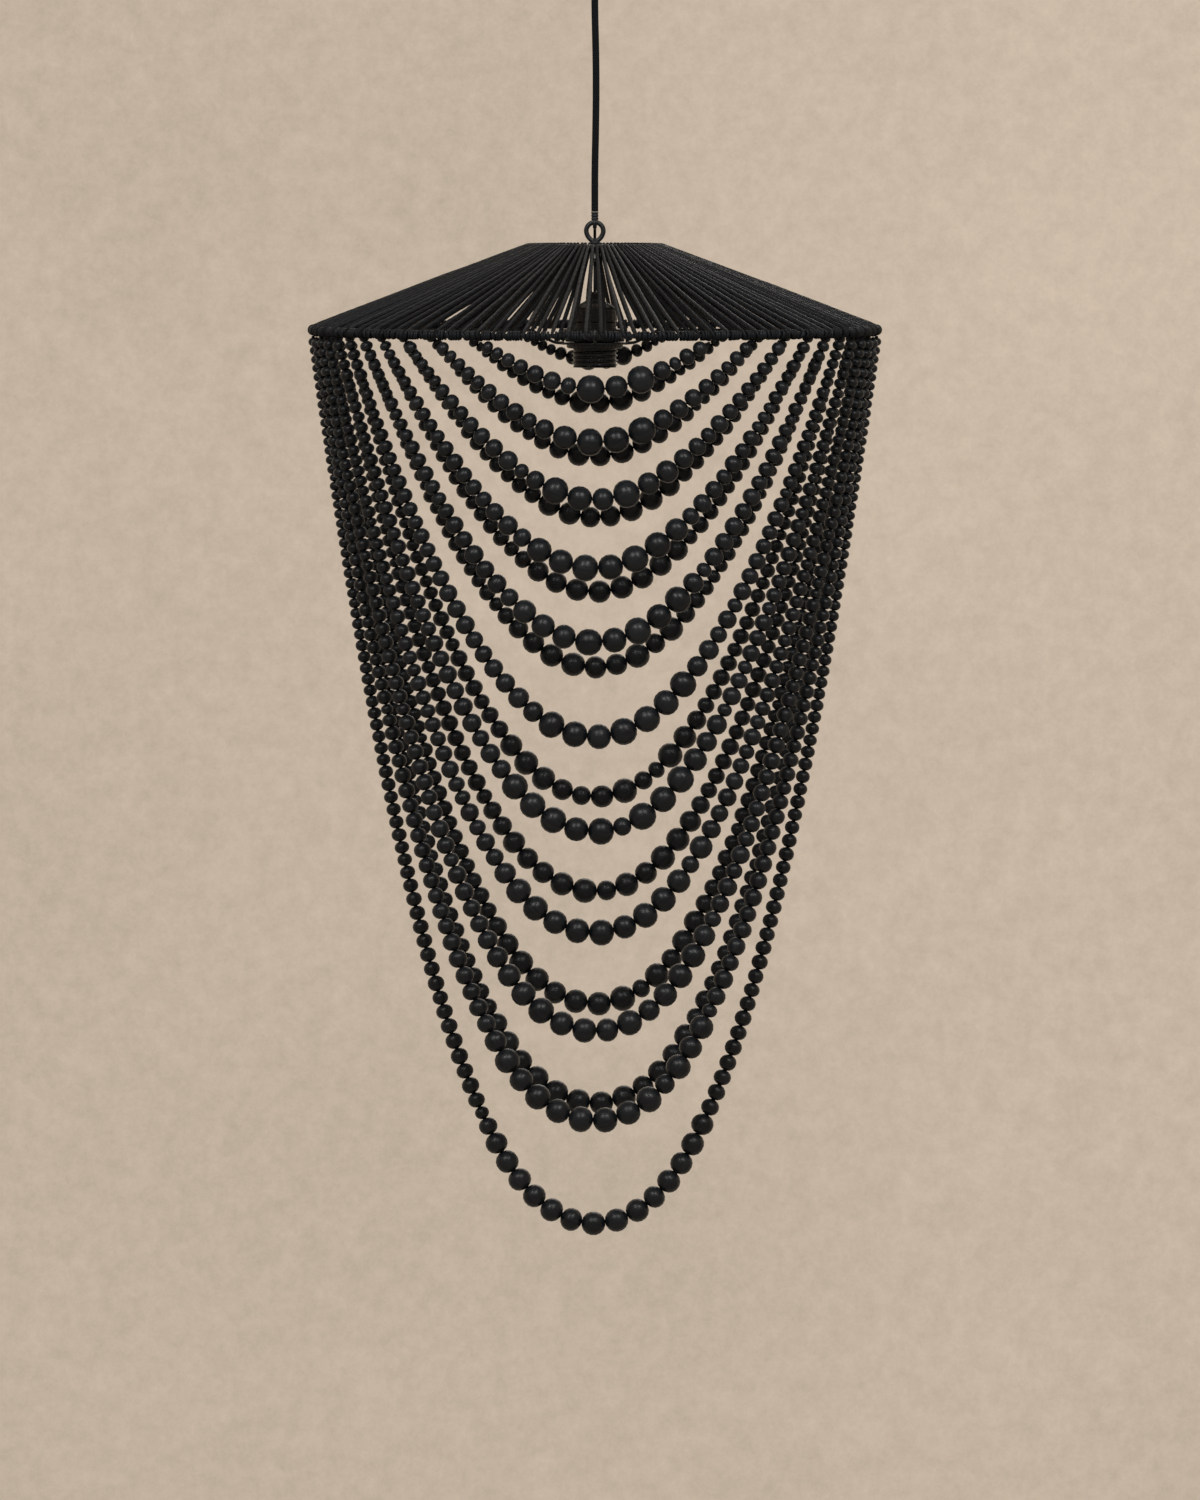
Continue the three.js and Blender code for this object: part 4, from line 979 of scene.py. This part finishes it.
def shade_ring(node, profile):
    """Moulded threaded ring with finger ribs."""
    low, high = levels_of(node)
    outline = [(r, low + (high - low) * share) for r, share in profile]
    outline += [(20.6, high), (20.35, high - 0.5), (20.35, low + 0.5), (20.6, low)]
    ribs = 36
    return turned(outline, 6 * ribs, 0.35, True, grip_ribs(ribs, 0.55, low + 0.7, high - 0.7, 22.5))


def holder_body():
    """Moulded body: a mouth with a bead, a helical thread below the rings, and a plain collar above."""
    low, high = levels_of("holder_body")
    ridge_top = levels_of("lower_shade_ring")[0] - PLAY
    ridge_low = ridge_top - 16
    outline = [(17.4, low), (18.2, low + 0.4), (18.2, ridge_low - 0.4), (18.7, ridge_low - 0.2)]
    outline += straight(20, np.linspace(ridge_low, ridge_top, 49))
    outline += [(18.5, ridge_top + 0.15), (18.5, high - 0.4), (18.2, high)]
    outline += [(14.8, high), (14.8, low + 1.5), (15.1, low)]

    def thread_shape(radius, height, angle):
        phase = thread_phase(height - ridge_low, 4, angle)
        ridge = np.clip(1.35 - 2.6 * np.abs(2 * phase - 1), 0, 1)
        fade = np.clip((height - ridge_low) / 2, 0, 1) * np.clip((ridge_top - height) / 1.2, 0, 1)
        inside = (height >= ridge_low) & (height <= ridge_top) & (radius > 19)
        return np.where(inside, 18.5 + 1.5 * ridge * fade, radius)

    return turned(outline, 64, 0.25, True, thread_shape)


def screw_shell():
    """Brass shell with a rolled thread, (0.4 cos b) in and out on both faces, and a flared lip."""
    low, high = levels_of("shell_contact")
    rows = np.linspace(low + 0.8, high - 0.4, 60)
    outline = [(14.2, low), *straight(13.85, rows), (13.85, high)]
    outline += [(13.25, high), *straight(13.25, rows[::-1]), (13.75, low)]

    def roll(radius, height, angle):
        wave = 0.4 * np.cos(2 * np.pi * (height / 3.6) - angle)
        return radius + wave * np.clip((height - low) / 1.5, 0, 1) * np.clip((high - height) / 1.5, 0, 1)

    return turned(outline, 64, 0.1, True, roll)


def insulator():
    """Ceramic plug with a moulded well round the centre contact, seen up the socket."""
    low, high = levels_of("holder_insulator")
    outline = [(0.6, low + 2.6), (4.6, low + 2.6), (5.2, low + 2.2), (5.6, low), (9.5, low), (9.9, low + 0.7)]
    outline += [(12.2, low + 0.7), (12.6, low), (13.9, low), (14.2, low + 0.4), (14.2, high - 0.4)]
    return turned([*outline, (13.9, high), (0.6, high)], 56, 0.3, False)


def blunt(angle, wide, thick, power):
    """Radius of a section whose sides are wide and thick, |x / wide|^power + |y / thick|^power = 1."""
    return 1 / (np.abs(np.cos(angle) / wide) ** power + np.abs(np.sin(angle) / thick) ** power) ** (1 / power)


def centre_contact():
    """Leaf spring: a strip that drops from one side and rolls over to its tip."""
    low, high = levels_of("centre_contact")
    places = [(-3.6, high - 0.3), (-2.2, high - 0.7), (0, low + 0.5), (1.8, low + 0.9)]
    places += [(3.2, high - 0.9), (3.6, high - 0.4)]
    path = smooth_path([(x, 0, z) for x, z in places], 0.25)
    return tube(path, BACKWARDS, blunt(full_turn(20), 0.3, 1.9, 4)[None, :], 20)


def holder_cap():
    """Domed cap: its radius falls as 3 s² - 2 s³ from the shoulder to the neck, over moulded grip ribs."""
    low, high = levels_of("holder_cap")
    share = np.linspace(0, 1, 16)
    drop = share**2 * (3 - 2 * share)
    shoulder, throat = low + 11.5, low + 20
    outer = [(18.1, low), (18.5, low + 0.4), *straight(18.5, np.linspace(low + 1, shoulder - 1, 5))]
    outer += list(zip(18.5 + (7 - 18.5) * drop, shoulder + (throat - shoulder) * share))
    outer += [(7, high - 1.2), (6.6, high - 0.3), (6, high)]
    inner = [(2.95, high), (2.75, high - 0.6), (2.75, throat)]
    inner += list(zip(4.6 + (16.1 - 4.6) * drop, throat - 1 + (shoulder - 2.4 - throat + 1) * share))
    ribs = grip_ribs(20, 0.4, low + 1.5, shoulder - 0.9, 17.5)
    return turned([*outer, *inner, (16.1, low)], 120, 0.3, True, ribs)


def inner_lead():
    """Flat braided lead: out of the hook's sleeve, down past the hub, and in an easy bend to the cap's neck.

    Its section is an oval, 1 / hypot(cos a / half, sin a / (0.58 half)), that shows its edge to the front.
    """
    _, high = box_of("inner_lead")
    hub_low, hub_high = levels_of("top_spider")
    cap_top = levels_of("holder_cap")[1]
    back = high[1] - LEAD / 2
    top = high[2] - LEAD / 2 - PLAY
    bend = [(back - 4.6, top), (back - 2.2, top - 0.3), (back - 0.6, top - 1.7), (back, top - 4.2)]
    bend += [(back, top - 10), (back, hub_high), (back, hub_low)]
    for out, up in ((0.9, 0.8), (0.55, 0.55), (0.2, 0.35)):
        bend.append((back * out, cap_top + (hub_low - cap_top) * up))
    bend += [(0, cap_top), (0, levels_of("inner_lead")[0])]
    angle = full_turn(18)
    oval = 1 / np.hypot(np.cos(angle) / (LEAD / 2), np.sin(angle) / (LEAD / 2 * 0.58))
    return tube(smooth_path([(0, y, z) for y, z in bend], 0.8), SIDEWAYS, oval[None, :], 18)


UPPER_RING = [(25.3, 0), (25.6, 0.05), (27.9, 0.66), (28, 0.72), (28, 0.96), (27.6, 1)]
LOWER_RING = [(23.3, 0), (24.4, 0.3), (24.5, 0.4), (24.5, 0.9), (24.2, 1)]
piece("dipping_arms", holder_arms(), "painted_steel", "holder_spider")
for side, profile in (("upper", UPPER_RING), ("lower", LOWER_RING)):
    ring = f"{side}_shade_ring"
    piece(f"ribbed_{side}_ring", shade_ring(ring, profile), "holder_plastic", ring, sharp=50)
piece("threaded_holder", holder_body(), "holder_plastic", "holder_body", sharp=50)
piece("domed_cap", holder_cap(), "holder_plastic", "holder_cap", sharp=50)
piece("rolled_screw_shell", screw_shell(), "brass_contacts", "shell_contact", sharp=60)
piece("leaf_contact", centre_contact(), "brass_contacts", "centre_contact")
piece("ceramic_plug", insulator(), "ceramic_insulator", "holder_insulator")
piece("inner_braided_lead", inner_lead(), "textile_cord", "inner_lead", ("hanging_cord", "lamp"))


# Ceiling cup and its fittings


def ceiling_cup():
    """Spun cup: a flat with a hole, a quarter round of 8 mm, and a straight wall with a rolled lip."""
    low, high = levels_of("ceiling_cup")
    radius = box_of("ceiling_cup")[1][0]
    quarter = np.linspace(0, np.pi / 2, 9)
    outer = [(5.4, low), (radius - 8, low)]
    outer += [(radius - 8 + 8 * np.sin(t), low + 8 - 8 * np.cos(t)) for t in quarter[1:]]
    outer += [(radius, high - 2.2), (radius, high)]
    inner = [(radius - 1.4, high)]
    inner += [(radius - 8 + 6.6 * np.sin(t), low + 8 - 6.6 * np.cos(t)) for t in quarter[::-1]]
    return turned([*outer, *inner, (5.4, low + 1.4)], 96, 0.35)


def cup_screw(node, side):
    """Button head with a hexagonal socket, and a threaded shank, laid on its side."""
    low, high = box_of(node)
    seat, tip = (low[0], high[0]) if side > 0 else (-high[0], -low[0])
    face = tip - 1.8
    outline = [(1.0, seat), (1.4, seat + 0.4), *straight(1.5, np.arange(seat + 0.6, face - 0.3, 0.11))]
    outline += [(1.5, face), (3.3, face), (3.5, face + 0.2), (3.2, face + 0.9), (2.6, tip - 0.25)]
    outline += [(2.0, tip), (1.35, tip), (1.15, tip - 0.15), (1.1, tip - 1.2)]
    thread = thread_ridges(seat + 0.4, face - 0.3, 0.5, 0.2)

    def reshape(radius, height, angle):
        bored = np.where((radius < 1.5) & (height > tip - 1.5), 1 / from_flat(angle), radius)
        return thread(bored, height, angle)

    shape = turned(outline, 36, 0.12, False, reshape)
    x, y, z = shape.points.T
    level = (low[2] + high[2]) / 2
    return shape._replace(points=np.stack([side * z, -side * y, level + x], axis=-1))


def cord_grip():
    """Strain relief: a collar over a taper with five moulded rings, on a threaded neck."""
    low, high = levels_of("cord_grip")
    collar = levels_of("ceiling_cup")[0] - PLAY
    taper = collar - 8.7
    outline = [(4.3, low), (4.7, low + 0.5)]
    for i in range(5):
        z0 = low + 1.6 + i * (taper - low - 2.4) / 5
        z1 = z0 + (taper - low - 2.4) / 5 * 0.62
        r0, r1 = (4.8 + (9 - 4.8) * (z - low) / (taper - low) for z in (z0, z1))
        outline += [(r0 - 0.7, z0), (r0, z0 + 0.35), (r1, z1), (r1 - 0.7, z1 + 0.35)]
    outline += [(8.6, taper), (9, taper + 0.5), (9, collar - 0.4), (8.7, collar), (5, collar)]
    outline += straight(5, np.arange(collar + 0.3, high - 0.4, 0.16))
    outline += [(4.7, high), (3.6, high), (3.6, low + 1), (3.9, low)]
    return turned(outline, 48, 0.25, True, thread_ridges(collar + 0.2, high - 0.4, 1.0, 0.35, 4.4))


def terminal_block():
    """Three-pole block: a rounded bar along X, with wire funnels and screw turrets."""
    low, high = box_of("terminal_block")
    size, middle = high - low, (high + low) / 2
    foot, step = 2.0, 0.3
    angle = full_turn(64)
    ring = blunt(angle, 1, 1, 8)
    heights = np.array([0, 0.06, 0.14, 0.5, 0.86, 0.94, 1.0])
    inset = np.array([0.9, step, 0, 0, 0, step, 0.9])
    x = (size[0] / 2 - inset)[:, None] * ring * np.cos(angle)
    y = (size[1] / 2 - inset)[:, None] * ring * np.sin(angle)
    z = np.broadcast_to((low[2] + foot + (size[2] - foot) * heights)[:, None], x.shape)
    edge = (inset == step)[:, None] * 1.0
    body = skin(np.stack([x, y, z], axis=-1), heights * 0.01, mark=(0.5, edge, 0))
    turret = [(2.2, 0), (3.2, 0), (3.4, 0.3), (3.4, 2.6), (1.6, 2.6), (1.6, 0.6), (2.0, 0.6)]
    turret = turned(turret, 28, 0.15)
    turrets = [moved(turret, middle[0] + x, middle[1], low[2]) for x in (-8.2, 0, 8.2)]
    return merge([moved(body, middle[0], middle[1], 0), *turrets])


def cord_tail():
    """Fixed end of the braided cord, from the grip up to the terminal block."""
    return tube(np.linspace(*levels_of("cord_tail"), 24)[:, None] * UP, SIDEWAYS, CORD / 2, 20)


piece("spun_cup", ceiling_cup(), "painted_steel", "ceiling_cup", "ceiling_rose")
for side, way in (("left", -1), ("right", 1)):
    node = f"cup_screw_{side}"
    piece(f"socket_screw_{side}", cup_screw(node, way), "painted_steel", node, "ceiling_rose")
piece("ringed_cord_grip", cord_grip(), "grip_plastic", "cord_grip", "ceiling_rose", sharp=50)
piece("hex_nut_in_cup", hex_nut(16, 5.3, "grip_nut"), "grip_plastic", "grip_nut", "ceiling_rose")
piece("three_pole_block", terminal_block(), "terminal_plastic", "terminal_block", "ceiling_rose")
piece("fixed_cord_end", cord_tail(), "textile_cord", "cord_tail", "ceiling_rose")

# Nodes that stay get only their finish
staying = {"rim_ring": "painted_steel", "top_ring": "painted_steel", "ceiling_bar": "zinc_steel"}
for node, finish in staying.items():
    materials = frame["nodes"][node].data.materials
    materials.clear()
    materials.append(finishes[finish])


# Studio


def studio_world():
    """Plain warm backdrop for what looks straight at it, faintly mottled and with painted shade that darkens
    it towards the bottom and the left, and a paler sky for the light.
    """
    world = bpy.data.worlds.new("studio")
    bpy.context.scene.world = world
    world.use_nodes = True
    world.node_tree.nodes.clear()
    n = Nodes(world.node_tree)
    place = n.put("TexCoord")["Generated"]
    across, _, up = n.split(place)
    shade = n.scaled(n.noise(place, 14.0, 2.0), 0.3, 0.55)
    shade = n.scaled(n.noise(place, 500.0, 8.0, 0.85), 0.6, shade)
    # Painted shade: darker towards the bottom, and a little darker to the left than to the right
    shade = n.reckon("MULTIPLY", shade, n.spread(up, -0.2, -0.04, 0.86, 1.0))
    shade = n.reckon("MULTIPLY", shade, n.spread(across, -0.06, 0.06, 0.965, 1.02))
    colour = n.blend(1.0, WALL, shade, kind="MULTIPLY")
    path = n.put("LightPath")
    seen = n.reckon("MAXIMUM", path["Is Camera Ray"], path["Is Glossy Ray"])
    seen = n.reckon("MAXIMUM", seen, path["Is Transmission Ray"])
    backdrop = n.put("Background", {"Color": colour, "Strength": 1.0})[0]
    light = n.put("Background", {"Color": (0.98, 0.99, 1.0, 1), "Strength": 0.2})[0]
    n.put("OutputWorld", {"Surface": n.put("MixShader", {0: seen, 1: light, 2: backdrop})[0]})


def studio_floor():
    """Pale round floor well below the lamp, which fades out towards its edge and keeps the shadow."""
    radius = np.array([0.02, 0.6, 1.2, 1.8, 2.4, 3.2]) / MM
    shape = skin(round_axis(radius[::-1, None], full_turn(64), FLOOR_LEVEL), radius * MM)
    faces = np.split(shape.corners, np.cumsum(shape.sizes)[:-1])[:-2]
    mesh = bpy.data.meshes.new("studio_floor")
    mesh.from_pydata((shape.points * MM).tolist(), [], faces)
    f = Finish("studio_floor", Roughness=0.8)
    place = f.put("TexCoord")["Object"]
    flat = f.put("VectorMath", {0: place, 1: (1, 1, 0)}, operation="MULTIPLY")[0]
    far = f.put("VectorMath", {0: flat}, operation="LENGTH")["Value"]
    front = f.reckon("SUBTRACT", 1.0, f.put("NewGeometry")["Backfacing"])
    colour = f.blend(f.noise(place, 2.2, 6.0), (0.70, 0.585, 0.465), (0.78, 0.66, 0.53))
    f.give(f.inputs["Base Color"], colour)
    f.give(f.inputs["Alpha"], f.reckon("MULTIPLY", f.spread(far, 1.5, 3.1, 1.0, 0.0), front))
    mesh.materials.append(f.material)
    placed("studio_floor", mesh)


def soft_lamp(name, place, aim, size, power, colour):
    """Square soft light that faces a point."""
    data = bpy.data.lights.new(name, "AREA")
    data.shape = "SQUARE"
    data.size = size
    data.energy = power
    data.color = colour
    lamp = placed(name, data)
    lamp.location = place
    face(lamp, aim)


bpy.context.scene.view_settings.view_transform = "Standard"
studio_world()
studio_floor()
soft_lamp("left_light", (-1.4, -3.0, 2.0), (0, 0, -0.65), 0.8, 74, (1.0, 0.995, 0.985))
soft_lamp("right_light", (1.3, -3.0, 2.1), (0, 0, -0.65), 0.8, 80, (1.0, 0.995, 0.985))
soft_lamp("back_light", (0.5, 3.4, 0.9), (0, 0, -0.6), 1.8, 12, (1.0, 0.99, 0.98))
